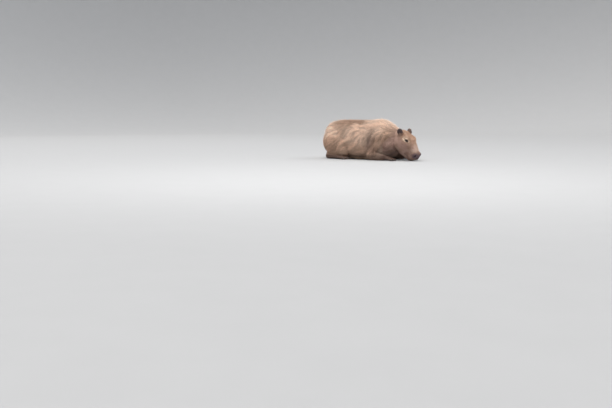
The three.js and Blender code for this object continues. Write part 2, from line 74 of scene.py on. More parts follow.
# Rounded bodies, laid along the X axis of a frame. Each station is
# along, top, bottom, level of the widest line, half width, squareness, sideways shift.
TRUNK = [
    (-500, 178, 178, 178, 0, 2, 0),
    (-488, 236, 112, 168, 74, 2.2, 0),
    (-460, 290, 50, 154, 126, 2.5, 0),
    (-408, 324, 10, 144, 158, 2.6, 0),
    (-318, 334, -8, 136, 176, 2.5, 0),
    (-216, 335, -13, 132, 184, 2.4, 0),
    (-109, 333, -15, 130, 185, 2.4, 0),
    (-1, 337, -15, 130, 180, 2.4, 0),
    (78, 338, -11, 132, 169, 2.3, 0),
    (134, 318, -2, 138, 154, 2.2, 0),
    (186, 290, 18, 144, 136, 2.2, 0),
    (232, 266, 46, 150, 114, 2.1, -1),
    (268, 246, 84, 158, 86, 2.1, -3),
    (292, 216, 122, 166, 52, 2, -5),
    (302, 170, 170, 170, 0, 2, -6),
]
SKULL = [
    (-34, -70, -70, -70, 0, 2, 0),
    (-24, -30, -116, -76, 44, 2.1, 0),
    (-4, -12, -144, -82, 63, 2.3, 0),
    (24, -2, -158, -88, 75, 2.4, 0),
    (54, 5, -164, -92, 79, 2.5, 0),
    (84, 9, -161, -90, 75, 2.6, 0),
    (112, 7, -154, -84, 65, 2.7, 0),
    (138, -1, -147, -80, 57, 2.8, 0),
    (166, -12, -139, -77, 51, 2.9, 0),
    (196, -25, -128, -78, 48, 3, 0),
    (222, -33, -122, -80, 47, 3.1, 0),
    (240, -41, -117, -82, 43, 3, 0),
    (250, -53, -109, -83, 33, 2.6, 0),
    (254, -68, -98, -84, 17, 2.2, 0),
    (255, -84, -84, -84, 0, 2, 0),
]
JAW = [
    (36, -135, -135, -135, 0, 2, 0),
    (46, -104, -161, -134, 38, 2.1, 0),
    (74, -100, -170, -136, 50, 2.2, 0),
    (106, -98, -168, -134, 49, 2.3, 0),
    (138, -96, -162, -130, 44, 2.3, 0),
    (170, -98, -156, -126, 41, 2.4, 0),
    (200, -98, -149, -121, 39, 2.5, 0),
    (223, -100, -141, -119, 33, 2.4, 0),
    (235, -107, -132, -119, 19, 2.2, 0),
    (239, -120, -120, -120, 0, 2, 0),
]
THIGH = [
    (-14, 0, 0, 0, 0, 2, 0),
    (0, 56, -56, 0, 32, 2.1, 0),
    (42, 98, -98, 0, 54, 2.2, 0),
    (104, 114, -112, 0, 64, 2.2, 0),
    (166, 104, -102, 0, 63, 2.2, 0),
    (224, 78, -76, 0, 53, 2.2, 0),
    (264, 47, -46, 0, 35, 2.1, 0),
    (278, 0, 0, 0, 0, 2, 0),
]
SHANK = [
    (-36, 0, 0, 0, 0, 2, 0),
    (-26, 26, -26, 0, 22, 2, 0),
    (10, 41, -39, 0, 33, 2.1, 0),
    (80, 35, -35, 0, 29, 2.1, 0),
    (146, 26, -26, 0, 23, 2, 0),
    (182, 20, -22, 0, 19, 2, 0),
    (196, 0, 0, 0, 0, 2, 0),
]
HIND_FOOT = [
    (-18, 0, 0, 0, 0, 2, 0),
    (-9, 20, -20, 0, 15, 2.2, 0),
    (16, 26, -27, 0, 21, 2.3, 0),
    (74, 19, -21, 0, 22, 2.4, 0),
    (128, 16, -17, 0, 28, 2.4, 0),
    (160, 14, -15, 0, 34, 2.4, 0),
    (182, 11, -13, 0, 29, 2.4, 0),
    (192, 0, 0, 0, 0, 2, 0),
]
UPPER_ARM = [
    (-44, 0, 0, 0, 0, 2, 0),
    (-30, 44, -44, 0, 24, 2.1, 0),
    (6, 76, -72, 0, 42, 2.2, 0),
    (66, 80, -74, 0, 49, 2.2, 0),
    (120, 64, -60, 0, 46, 2.2, 0),
    (164, 47, -44, 0, 38, 2.1, 0),
    (196, 31, -29, 0, 27, 2, 0),
    (206, 0, 0, 0, 0, 2, 0),
]
FOREARM = [
    (-32, 0, 0, 0, 0, 2, 0),
    (-22, 24, -24, 0, 22, 2, 0),
    (10, 38, -38, 0, 34, 2.1, 0),
    (66, 33, -35, 0, 29, 2.1, 0),
    (112, 24, -26, 0, 23, 2.1, 0),
    (140, 20, -22, 0, 21, 2.1, 0),
    (152, 0, 0, 0, 0, 2, 0),
]
FORE_FOOT = [
    (-13, 0, 0, 0, 0, 2, 0),
    (-5, 14, -15, 0, 17, 2.2, 0),
    (18, 18, -18, 0, 25, 2.3, 0),
    (46, 14, -15, 0, 32, 2.4, 0),
    (64, 11, -12, 0, 29, 2.4, 0),
    (74, 0, 0, 0, 0, 2, 0),
]
TOE = [
    (0, 0, 0, 0, 0, 2, 0),
    (0.08, 0.8, -0.8, 0, 0.8, 2, 0),
    (0.42, 0.9, -0.95, 0, 0.95, 2.2, 0),
    (0.74, 1, -1, 0, 1.05, 2.4, 0),
    (0.95, 0.7, -0.8, 0, 0.8, 2.2, 0),
    (1, 0, 0, 0, 0, 2, 0),
]
JOINTS = {
    "hip": (-440, 121, 186),
    "knee_top": (-186, 162, 76),
    "knee": (-196, 170, 62),
    "hock": (-366, 172, 44),
    "heel": (-374, 180, 27),
    "ball": (-200, 192, 16),
    "shoulder": (146, 106, 226),
    "elbow": (78, 146, 58),
    "elbow_point": (66, 152, 41),
    "wrist": (212, 134, 24),
    "paw": (282, 126, 14),
}
HIND_TOES = {
    "splay": (-13, 0, 13),
    "length": (46, 56, 46),
    "width": 13,
    "out": (-20, 0, 20),
    "ahead": 172,
    "nail": (10.8, 30),
}
FORE_TOES = {
    "splay": (-24, -8, 8, 24),
    "length": (31, 39, 39, 31),
    "width": 10.5,
    "out": (-22, -8, 8, 22),
    "ahead": 50,
    "nail": (8.8, 24),
}


def turned(axis, degrees):
    return Matrix.Rotation(math.radians(degrees), 4, axis)


def towards(start, end):
    """A frame at one point that looks towards another, with its own Z as near up as it can be."""
    ahead = (end - start).normalized()
    side = Vector((0, 0, 1)).cross(ahead).normalized()
    up = ahead.cross(side)
    columns = Matrix((ahead, side, up)).transposed().to_4x4()
    return Matrix.Translation(start) @ columns


def smoothstep(values, low, high):
    t = np.clip((values - low) / (high - low), 0, 1)
    return t * t * (3 - 2 * t)


def fading(values, near, far):
    """1 up to the near value and 0 from the far one on."""
    return smoothstep(-values, -far, -near)


def within(values, middle, near, far):
    """1 closer than near to a middle and 0 further away than far."""
    return fading(np.abs(values - middle), near, far)


def bell(values, width):
    return np.exp(-((values / width) ** 2))


def distance(points, place=(0, 0, 0)):
    return np.linalg.norm(points - np.array(place), axis=1)


def unit(vectors):
    return vectors / np.maximum(np.linalg.norm(vectors, axis=1, keepdims=True), 1e-9)


def carried(points, matrix):
    """Points through a 4x4 matrix."""
    m = np.array(matrix)
    return points @ m[:3, :3].T + m[:3, 3]


def aimed(matrix, *direction):
    """A direction in a frame, in the part's own axes."""
    return np.array(matrix.to_3x3() @ Vector(direction))


class Form:
    """A rounded body through a table of stations, at a frame's place, whose skin lies a depth inside it."""

    def __init__(self, rows, matrix=None, depth=0.0):
        self.rows = np.array(rows, float)
        self.matrix = matrix or Matrix.Translation((FOOTPRINT_SHIFT, 0, 0))
        self.last = len(rows) - 1
        self.depth = depth
        self.ruler = np.linspace(0, self.last, 400)
        self.along = self.blend(self.ruler)[:, 0]

    def blend(self, s):
        """Catmull-Rom blend of the stations, at s stations along."""
        i = np.clip(np.floor(s).astype(int), 0, self.last - 1)
        t = (s - i)[:, None]
        b = self.rows[i]
        c = self.rows[i + 1]
        a = np.where((i > 0)[:, None], self.rows[np.maximum(i - 1, 0)], 2 * b - c)
        d = np.where((i + 2 <= self.last)[:, None], self.rows[np.minimum(i + 2, self.last)], 2 * c - b)
        return b + 0.5 * t * (c - a + t * (2 * a - 5 * b + 4 * c - d + t * (3 * (b - c) + d - a)))

    def bare(self, s, angle):
        x, top, bottom, widest, half, square, shift = self.blend(s).T
        c, h = np.cos(angle), np.sin(angle)
        reach = np.where(h > 0, top - widest, widest - bottom)
        y = shift + half * np.sign(c) * np.abs(c) ** (2 / square)
        z = widest + reach * np.sign(h) * np.abs(h) ** (2 / square)
        return np.stack([x, y, z], axis=1)

    def normals(self, s, angle):
        step = 0.02
        inner = np.clip(s, 2 * step, self.last - 2 * step)
        ahead = self.bare(inner + step, angle) - self.bare(inner - step, angle)
        round_ = self.bare(inner, angle + step) - self.bare(inner, angle - step)
        made = unit(np.cross(round_, ahead))
        made[s < step] = (-1, 0, 0)
        made[s > self.last - step] = (1, 0, 0)
        return made

    def surface(self, s, angle, grow=0.0):
        place = self.bare(s, angle) + grow * self.normals(s, angle)
        return carried(place, self.matrix)

    def nearness(self, points):
        """Each point's share of the way from the form's axis to its surface, with its station and angle."""
        p = carried(points, self.matrix.inverted())
        s = np.interp(p[:, 0], self.along, self.ruler)
        _, top, bottom, widest, half, square, shift = self.blend(np.clip(s, 0.3, self.last - 0.3)).T
        reach = np.where(p[:, 2] > widest, top - widest, widest - bottom)
        across = np.abs(p[:, 1] - shift) / np.maximum(half, 4)
        level = np.abs(p[:, 2] - widest) / np.maximum(reach, 4)
        beyond = np.maximum(self.along[0] - p[:, 0], 0) + np.maximum(p[:, 0] - self.along[-1], 0)
        share = (across**square + level**square) ** (1 / square) + beyond / 20
        return share, s, np.arctan2(p[:, 2] - widest, p[:, 1] - shift)


HEAD_FRAME = Matrix.Translation(POLL) @ turned("Z", -HEAD_TURN) @ turned("Y", HEAD_PITCH)


def in_head(points):
    """Points in the head's own frame: X towards the nose, Y to the left, Z towards the forehead."""
    return carried(points, HEAD_FRAME.inverted())


def joint(name, side):
    x, y, z = JOINTS[name]
    return Vector((x + FOOTPRINT_SHIFT, y * side, z))


def limb(start, end, side, rows, depth):
    return Form(rows, towards(joint(start, side), joint(end, side)), depth)


def toes_of(foot, toes):
    made = []
    for turn, length, out in zip(toes["splay"], toes["length"], toes["out"]):
        matrix = foot.matrix @ Matrix.Translation((toes["ahead"], out, -2)) @ turned("Z", turn)
        size = np.array([length, *[toes["width"]] * 4, 1, 1])
        made.append(Form(np.array(TOE) * size, matrix, LOW_LEG_DEPTH))
    return made


forms = {
    "trunk": Form(TRUNK, depth=COAT_DEPTH["trunk"]),
    "skull": Form(SKULL, HEAD_FRAME, COAT_DEPTH["skull"]),
    "jaw": Form(JAW, HEAD_FRAME, COAT_DEPTH["jaw"]),
}
toes = {}
for side_name, side in SIDES.items():
    forms[f"thigh_{side_name}"] = limb("hip", "knee_top", side, THIGH, COAT_DEPTH["thigh"])
    forms[f"upper_arm_{side_name}"] = limb("shoulder", "elbow", side, UPPER_ARM, COAT_DEPTH["upper_arm"])
    forms[f"shank_{side_name}"] = limb("knee", "hock", side, SHANK, LOW_LEG_DEPTH)
    forms[f"forearm_{side_name}"] = limb("elbow_point", "wrist", side, FOREARM, LOW_LEG_DEPTH)
    forms[f"hind_foot_{side_name}"] = limb("heel", "ball", side, HIND_FOOT, LOW_LEG_DEPTH)
    forms[f"fore_foot_{side_name}"] = limb("wrist", "paw", side, FORE_FOOT, LOW_LEG_DEPTH)
    toes[f"hind_{side_name}"] = toes_of(forms[f"hind_foot_{side_name}"], HIND_TOES)
    toes[f"fore_{side_name}"] = toes_of(forms[f"fore_foot_{side_name}"], FORE_TOES)


LONG_HAIRED = ("trunk", "thigh", "upper_arm")


def region_of(name):
    return name.removesuffix("_left").removesuffix("_right")


# Mesh helpers
def points_of(obj):
    flat = np.empty(len(obj.data.vertices) * 3, np.float32)
    obj.data.vertices.foreach_get("co", flat)
    return flat.reshape(-1, 3).astype(float) / MM


def normals_of(obj):
    flat = np.empty(len(obj.data.vertices) * 3, np.float32)
    obj.data.vertices.foreach_get("normal", flat)
    return flat.reshape(-1, 3).astype(float)


def set_points(obj, points):
    obj.data.vertices.foreach_set("co", (points * MM).astype(np.float32).ravel())
    obj.data.update()


def only(obj):
    bpy.ops.object.select_all(action="DESELECT")
    obj.select_set(True)
    bpy.context.view_layer.objects.active = obj


def face_outwards(obj):
    only(obj)
    bpy.ops.object.mode_set(mode="EDIT")
    bpy.ops.mesh.select_all(action="SELECT")
    bpy.ops.mesh.normals_make_consistent(inside=False)
    bpy.ops.object.mode_set(mode="OBJECT")


def finish_modifier(obj, kind, **settings):
    only(obj)
    modifier = obj.modifiers.new(kind.title(), kind)
    for name, value in settings.items():
        setattr(modifier, name, value)
    bpy.ops.object.modifier_apply(modifier=modifier.name)


def carve(obj, tool, operation):
    """Joins a tool to a piece or cuts it away, and removes the tool."""
    finish_modifier(obj, "BOOLEAN", object=tool, operation=operation, solver="MANIFOLD")
    bpy.data.objects.remove(tool)


def ball(name, segments, rings):
    bpy.ops.mesh.primitive_uv_sphere_add(segments=segments, ring_count=rings, radius=1)
    obj = bpy.context.object
    obj.name = name
    return obj


def form_mesh(name, form, segments, rings, grow):
    obj = ball(name, segments, rings)
    at = points_of(obj) * MM
    s = np.arccos(np.clip(at[:, 2], -1, 1)) / math.pi * form.last
    angle = np.arctan2(at[:, 1], at[:, 0])
    set_points(obj, form.surface(s, angle, grow))
    face_outwards(obj)
    return obj


def joined(objs, name):
    bpy.ops.object.select_all(action="DESELECT")
    for obj in objs:
        obj.select_set(True)
    bpy.context.view_layer.objects.active = objs[0]
    bpy.ops.object.join()
    objs[0].name = name
    objs[0].data.name = name
    return objs[0]


def eye_frame(side):
    place = Matrix.Translation((EYE["x"], EYE["y"] * side, EYE["z"]))
    return HEAD_FRAME @ place @ turned("Z", EYE["outward"] * side) @ turned("Y", -EYE["tilt"])


def ear_frame(side):
    place = Matrix.Translation((EAR["x"], EAR["y"] * side, EAR["z"]))
    lean = turned("X", -EAR["out"] * side) @ turned("Y", -EAR["back"]) @ turned("Z", EAR["turn"] * side)
    return HEAD_FRAME @ place @ lean


# Skin
def bump_sum(points, bumps):
    """Gaussian swellings, given as place, radius and height, summed at each point."""
    total = np.zeros(len(points))
    for place, radius, height in bumps:
        far = ((points - np.array(place)) ** 2).sum(axis=1) / radius**2
        total += height * np.exp(-far)
    return total


def pair(x, y, z, radius, height):
    return [((x, y, z), radius, height), ((x, -y, z), radius, height)]


HEAD_SWELLS = [
    *pair(62, 74, -108, 38, 5),
    *pair(102, 50, 2, 25, 9),
    *pair(226, 44, -96, 26, 4),
    *pair(150, 50, -56, 26, -4),
    *pair(236, 32, -48, 16, 6),
]


def flesh_blank():
    pieces = []
    for name, form in forms.items():
        segments, rings = (96, 96) if name in ("trunk", "skull", "jaw") else (48, 48)
        pieces.append(form_mesh(name, form, segments, rings, -form.depth))
    skull = pieces[1]
    swell = bump_sum(in_head(points_of(skull)), HEAD_SWELLS)
    set_points(skull, points_of(skull) + normals_of(skull) * swell[:, None])
    for name, some in toes.items():
        for i, form in enumerate(some):
            pieces.append(form_mesh(f"toe_{name}_{i}", form, 24, 20, -form.depth * 0.5))
    return joined(pieces, "skin")


def choose_faces(obj, chosen):
    """Selects the faces whose corners are all chosen, and goes into edit mode."""
    only(obj)
    bpy.ops.object.mode_set(mode="EDIT")
    bpy.context.tool_settings.mesh_select_mode = (False, False, True)
    bpy.ops.mesh.select_all(action="DESELECT")
    bpy.ops.object.mode_set(mode="OBJECT")
    polygons = obj.data.polygons
    loops = np.empty(len(obj.data.loops), np.int32)
    obj.data.loops.foreach_get("vertex_index", loops)
    starts = np.empty(len(polygons), np.int32)
    polygons.foreach_get("loop_start", starts)
    whole = np.minimum.reduceat(chosen[loops].astype(np.int8), starts) > 0
    polygons.foreach_set("select", whole)
    bpy.ops.object.mode_set(mode="EDIT")


def refine(obj, chosen, smooth_rounds):
    """Halves the faces of a region and evens them out."""
    choose_faces(obj, chosen)
    bpy.ops.mesh.subdivide(number_cuts=1, smoothness=0)
    bpy.ops.mesh.vertices_smooth(factor=0.5, repeat=smooth_rounds)
    bpy.ops.object.mode_set(mode="OBJECT")


def thin_out(obj, chosen, ratio):
    """Leaves a region with a share of its faces."""
    choose_faces(obj, chosen)
    bpy.ops.mesh.decimate(ratio=ratio)
    bpy.ops.object.mode_set(mode="OBJECT")


def line_distance(points, line, count=60):
    """Distance from each point to a smooth line through a few points."""
    knots = np.array(line, float)
    steps = np.linspace(0, len(knots) - 1, count)
    i = np.clip(steps.astype(int), 0, len(knots) - 2)
    t = (steps - i)[:, None]
    before = knots[np.maximum(i - 1, 0)]
    after = knots[np.minimum(i + 2, len(knots) - 1)]
    a, b = knots[i], knots[i + 1]
    bent = 2 * before - 5 * a + 4 * b - after
    curve = a + 0.5 * t * (b - before + t * (bent + t * (3 * (a - b) + after - before)))
    nearest = np.full(len(points), 1e9)
    for spot in curve:
        nearest = np.minimum(nearest, ((points - spot) ** 2).sum(axis=1))
    return np.sqrt(nearest)


# Face, in the head's own frame. A swell has a place, radius and height; a fold has places, width and depth.
FACE_SWELLS = [
    *pair(98, 50, 4, 16, 3.5),
    *pair(132, 52, -30, 20, -3.0),
    *pair(104, 68, -54, 20, 3.0),
    *pair(52, 80, -104, 32, 3.5),
    *pair(150, 58, -84, 26, -2.5),
    *pair(206, 50, -96, 22, 3.0),
    *pair(234, 38, -102, 15, 3.0),
    *pair(240, 40, -54, 9, 2.6),
    *pair(252, 20, -50, 9, 2.2),
    *pair(252, 24, -78, 8, 2.0),
    *pair(30, 40, -2, 22, -2.5),
    *pair(22, 58, -148, 34, 8),
    ((256, 0, -60), 10, -2.0),
    ((226, 0, -140), 16, 2.5),
    ((70, 0, 8), 26, -2.0),
    ((180, 0, -20), 24, 1.6),
]
FACE_FOLDS = [
    ([(84, 62, 2), (100, 57, 9), (118, 52, 3), (128, 54, -10)], 2.6, 1.5),
    ([(86, 70, -34), (100, 70, -42), (118, 62, -40), (128, 56, -30)], 2.4, 1.3),
    ([(80, 72, -44), (100, 75, -54), (122, 66, -50)], 3.0, 1.2),
    ([(224, 46, -50), (230, 47, -68), (244, 38, -80), (252, 20, -90)], 2.6, 1.4),
    ([(150, 58, -106), (158, 56, -116), (160, 52, -128)], 3.4, 1.6),
    ([(24, 72, -30), (10, 76, -60), (4, 74, -96), (14, 70, -132)], 7.0, 3.0),
]
# Neck, shoulder, flank and rump, in the part's frame before its shift
NECK_FOLD = [
    (176, -112, 62),
    (183, -116, 102),
    (188, -118, 140),
    (202, -116, 170),
    (236, -106, 194),
    (266, -88, 210),
]
BODY_FOLDS = [
    (NECK_FOLD, 12, 12),
    ([(150, -138, 66), (164, -138, 116), (180, -132, 160), (200, -116, 206)], 12, 4),
    ([(-166, -186, 70), (-186, -190, 130), (-226, -190, 186), (-280, -180, 226)], 22, 7),
    ([(62, -186, 60), (54, -186, 120), (66, -176, 180), (92, -156, 232)], 24, 9),
    ([(-60, -190, 60), (-84, -192, 110), (-96, -190, 160)], 20, 4),
    ([(-470, 0, 50), (-490, 0, 110), (-494, 0, 170), (-482, 0, 230)], 22, 4),
]
BODY_SWELLS = [
    *pair(118, 124, 236, 62, 7),
    *pair(226, 104, 130, 34, 6),
    *pair(-70, 170, 90, 110, 4),
    *pair(20, 120, 300, 60, -4),
    *pair(-390, 120, 270, 60, 5),
    *pair(212, 134, 34, 22, 3.5),
]
MOUTH_LINE = [(158, -119), (172, -115), (192, -113), (212, -113), (232, -109), (262, -101)]
MOUTH_X, MOUTH_Z = zip(*MOUTH_LINE)
LIP_GAP = 1.9
LIP_DEPTH = 9
CLEFT_DEPTH = 3.4
SOCKET_GAP = 0.25
LID_BAR = 40
CUP_FORWARD = 4  # how far the ear's hollow lies ahead of its middle
NOSTRIL = {"x": 247, "y": 31, "z": -61, "out": 40, "roll": 36, "size": (11, 11, 6)}
LID_OPENING = {"half": 14, "upper": 8.3, "lower": 7.3, "roll": 11}


def cleft_share(local, half):
    """1 on the groove that runs from between the nostrils down to the lip."""
    ahead, across, up = local.T
    on = smoothstep(ahead, 230, 238) * smoothstep(up, -122, -114) * fading(up, -70, -58)
    return on * bell(across, half)


def press_folds(obj):
    at = points_of(obj)
    local = in_head(at)
    push = bump_sum(local, FACE_SWELLS) + bump_sum(at - SHIFT, BODY_SWELLS)
    for folds, places in ((FACE_FOLDS, local), (BODY_FOLDS, at - SHIFT)):
        for line, width, depth in folds:
            for side in SIDES.values():
                push -= depth * bell(line_distance(places * (1, side, 1), line), width)
    push -= CLEFT_DEPTH * cleft_share(local, 2.1)
    at += normals_of(obj) * push[:, None]
    at[:, 2] = np.maximum(at[:, 2], 0)
    set_points(obj, at)


def both_sides(make):
    return joined([make(side) for side in SIDES.values()], "tool")


def eye_shell(side, shape):
    shell = ball("shell", 48, 32)
    set_points(shell, carried(points_of(shell) * MM * shape, eye_frame(side)))
    return shell


def eyelid(side):
    return eye_shell(side, np.array(LID_SHAPE) * (EYE_RADIUS + LID_THICKNESS))


def eye_socket(side):
    return eye_shell(side, EYE_RADIUS + SOCKET_GAP)


def lid_frame(side):
    return eye_frame(side) @ turned("X", -LID_OPENING["roll"] * side)


def lid_reach(points, side):
    """How far a point in front of an eye lies from its middle, where 1 is the edge of the lids."""
    ahead, across, up = carried(points, lid_frame(side).inverted()).T
    rise = np.where(up > 0, LID_OPENING["upper"], LID_OPENING["lower"])
    reach = np.hypot(across / LID_OPENING["half"], up / rise)
    return np.where(ahead > 0, reach, 9) + np.maximum(ahead - 20, 0)


def lid_opening(side):
    """An almond bar, from the middle of the eye outwards."""
    bpy.ops.mesh.primitive_cylinder_add(vertices=48, radius=1, depth=1)
    bar = bpy.context.object
    at = points_of(bar) * MM
    turn = np.arctan2(at[:, 1], at[:, 0])
    up = np.sin(turn)
    rise = np.where(up > 0, LID_OPENING["upper"], LID_OPENING["lower"]) * np.sign(up) * np.abs(up) ** 1.5
    across = LID_OPENING["half"] * np.cos(turn)
    out = (at[:, 2] + 0.5) * LID_BAR
    set_points(bar, carried(np.stack([out, across, rise], axis=1), lid_frame(side)))
    face_outwards(bar)
    return bar


def nostril_frame(side):
    place = Matrix.Translation((NOSTRIL["x"], NOSTRIL["y"] * side, NOSTRIL["z"]))
    return HEAD_FRAME @ place @ turned("Z", NOSTRIL["out"] * side) @ turned("X", -NOSTRIL["roll"] * side)


def nostril(side):
    """A comma-shaped hollow: wide towards the middle, drawn out and down towards the cheek."""
    hole = ball("nostril", 32, 20)
    at = points_of(hole) * MM
    outer = at[:, 1] * side
    at *= np.array(NOSTRIL["size"])
    at[:, 2] *= 1 - 0.35 * outer
    at[:, 2] += 2.2 * (1 - outer**2)
    set_points(hole, carried(at, nostril_frame(side)))
    return hole


def mouth_blade():
    """A thin curved sheet where the lips meet, without its middle, so that only a line is cut."""
    bpy.ops.mesh.primitive_grid_add(x_subdivisions=60, y_subdivisions=50, size=2)
    blade = bpy.context.object
    at = points_of(blade) * MM
    x = (at[:, 0] + 1) / 2 * (MOUTH_X[-1] - MOUTH_X[0]) + MOUTH_X[0]
    y = at[:, 1] * 70
    z = np.interp(x, MOUTH_X, MOUTH_Z) + 1.2 * np.cos(y / 9)
    set_points(blade, carried(np.stack([x, y, z], axis=1), HEAD_FRAME))
    finish_modifier(blade, "SOLIDIFY", thickness=LIP_GAP * MM, offset=0)
    core = form_mesh("mouth_core", forms["skull"], 64, 64, -LIP_DEPTH)
    carve(blade, core, "DIFFERENCE")
    return blade


def ear_leaf(side, wall):
    leaf = ball("ear", 48, 40)
    at = points_of(leaf) * MM
    rise = (at[:, 2] + 1) / 2
    width = (EAR_WIDTH / 2 - wall) * (0.72 + 0.5 * rise - 0.2 * rise * rise)
    depth = at[:, 1] * (12 - wall + 9 * (1 - rise) ** 2)
    notch = 3.2 * bell(rise - 0.62, 0.09) * smoothstep(-at[:, 0], 0.4, 1)
    x = depth - 10 * rise * rise + wall * 2.4
    y = at[:, 0] * (width - notch)
    z = rise * (EAR_HEIGHT - wall * 2) + wall
    set_points(leaf, carried(np.stack([x, y * side, z], axis=1), ear_frame(side)))
    face_outwards(leaf)
    return leaf


def ear(side):
    """A cupped leaf with a small fold standing in its hollow."""
    leaf = ear_leaf(side, 0)
    hollow = ear_leaf(side, EAR_WALL)
    set_points(hollow, points_of(hollow) + aimed(ear_frame(side), CUP_FORWARD, 0, 0))
    carve(leaf, hollow, "DIFFERENCE")
    fold = ball("ear_fold", 24, 16)
    at = points_of(fold) * MM * np.array([3.4, 2.6, 15])
    at += np.array([-1.5, -7.5 * side, 20])
    set_points(fold, carried(at, ear_frame(side)))
    carve(leaf, fold, "UNION")
    return leaf


def build_skin():
    skin = flesh_blank()
    finish_modifier(skin, "REMESH", mode="VOXEL", voxel_size=VOXEL * MM)
    finish_modifier(skin, "SMOOTH", factor=0.5, iterations=5)
    at = points_of(skin)
    short_haired = [form for name, form in forms.items() if region_of(name) not in LONG_HAIRED]
    nearest = np.minimum.reduce([form.nearness(at)[0] for form in short_haired])
    thin_out(skin, (nearest > 1.3) & (at[:, 2] > 20), COVERED_SHARE)
    refine(skin, forms["skull"].nearness(points_of(skin))[0] < 1.25, 3)
    local = in_head(points_of(skin))
    near_eye = np.abs(local - np.array([EYE["x"], 0, EYE["z"]])) < np.array([24, 90, 22])
    nose = (local[:, 0] > 218) & (local[:, 2] > -125)
    refine(skin, near_eye.all(axis=1) | nose, 2)
    press_folds(skin)
    carve(skin, both_sides(eyelid), "UNION")
    carve(skin, both_sides(ear), "UNION")
    for hollow in (both_sides(eye_socket), both_sides(lid_opening), both_sides(nostril), mouth_blade()):
        carve(skin, hollow, "DIFFERENCE")
    only(skin)
    bpy.ops.object.shade_smooth_by_angle(angle=CREASE_ANGLE)
    return skin


skin = build_skin()


# Regions of the skin, with the lie and size of the hair that grows on each
FLESH = list(forms)
HAIR = {  # length, width, height of the tips, and how densely it stands against the other regions
    "trunk": (46, 2.8, 12, 6.0),
    "upper_arm": (36, 2.6, 8, 6.0),
    "thigh": (40, 2.7, 8.5, 6.0),
    "skull": (15, 1.1, 2.3, 13.0),
    "jaw": (14, 1.1, 2.1, 11.0),
    "ear": (7, 0.7, 0.8, 22.0),
    "forearm": (19, 1.7, 2.4, 9.0),
    "shank": (19, 1.7, 2.4, 9.0),
    "fore_foot": (9, 1.2, 1.1, 12.0),
    "hind_foot": (9, 1.2, 1.1, 12.0),
}


def ear_share(points):
    """True where a point lies on an ear."""
    on = np.zeros(len(points), bool)
    share, _, _ = forms["skull"].nearness(points)
    for side in SIDES.values():
        local = carried(points, ear_frame(side).inverted())
        near = (np.abs(local[:, 1]) < EAR_WIDTH * 0.62) & (local[:, 2] > 2) & (local[:, 2] < EAR_HEIGHT + 6)
        on |= near & (np.abs(local[:, 0]) < 26) & (share > 1.015)
    return on


def neck_share(points):
    """1 on the short-haired neck ahead of the fold in front of the shoulder."""
    p = points - SHIFT
    fold = np.array(NECK_FOLD)
    edge = np.interp(p[:, 2], fold[:, 2], fold[:, 0])
    return smoothstep(p[:, 0] - edge, -4, 12) * fading(p[:, 2], 200, 236)


def foot_share(points):
    """How near each point lies to a foot or a toe, where 1 is its surface."""
    near = [form for name, form in forms.items() if "foot" in name]
    near += [form for some in toes.values() for form in some]
    return np.minimum.reduce([form.nearness(points)[0] for form in near])


def rescale(size, *factors):
    """Scales the first columns of a hair table in turn: length, width, height and density."""
    for column, factor in enumerate(factors):
        size[:, column] *= factor


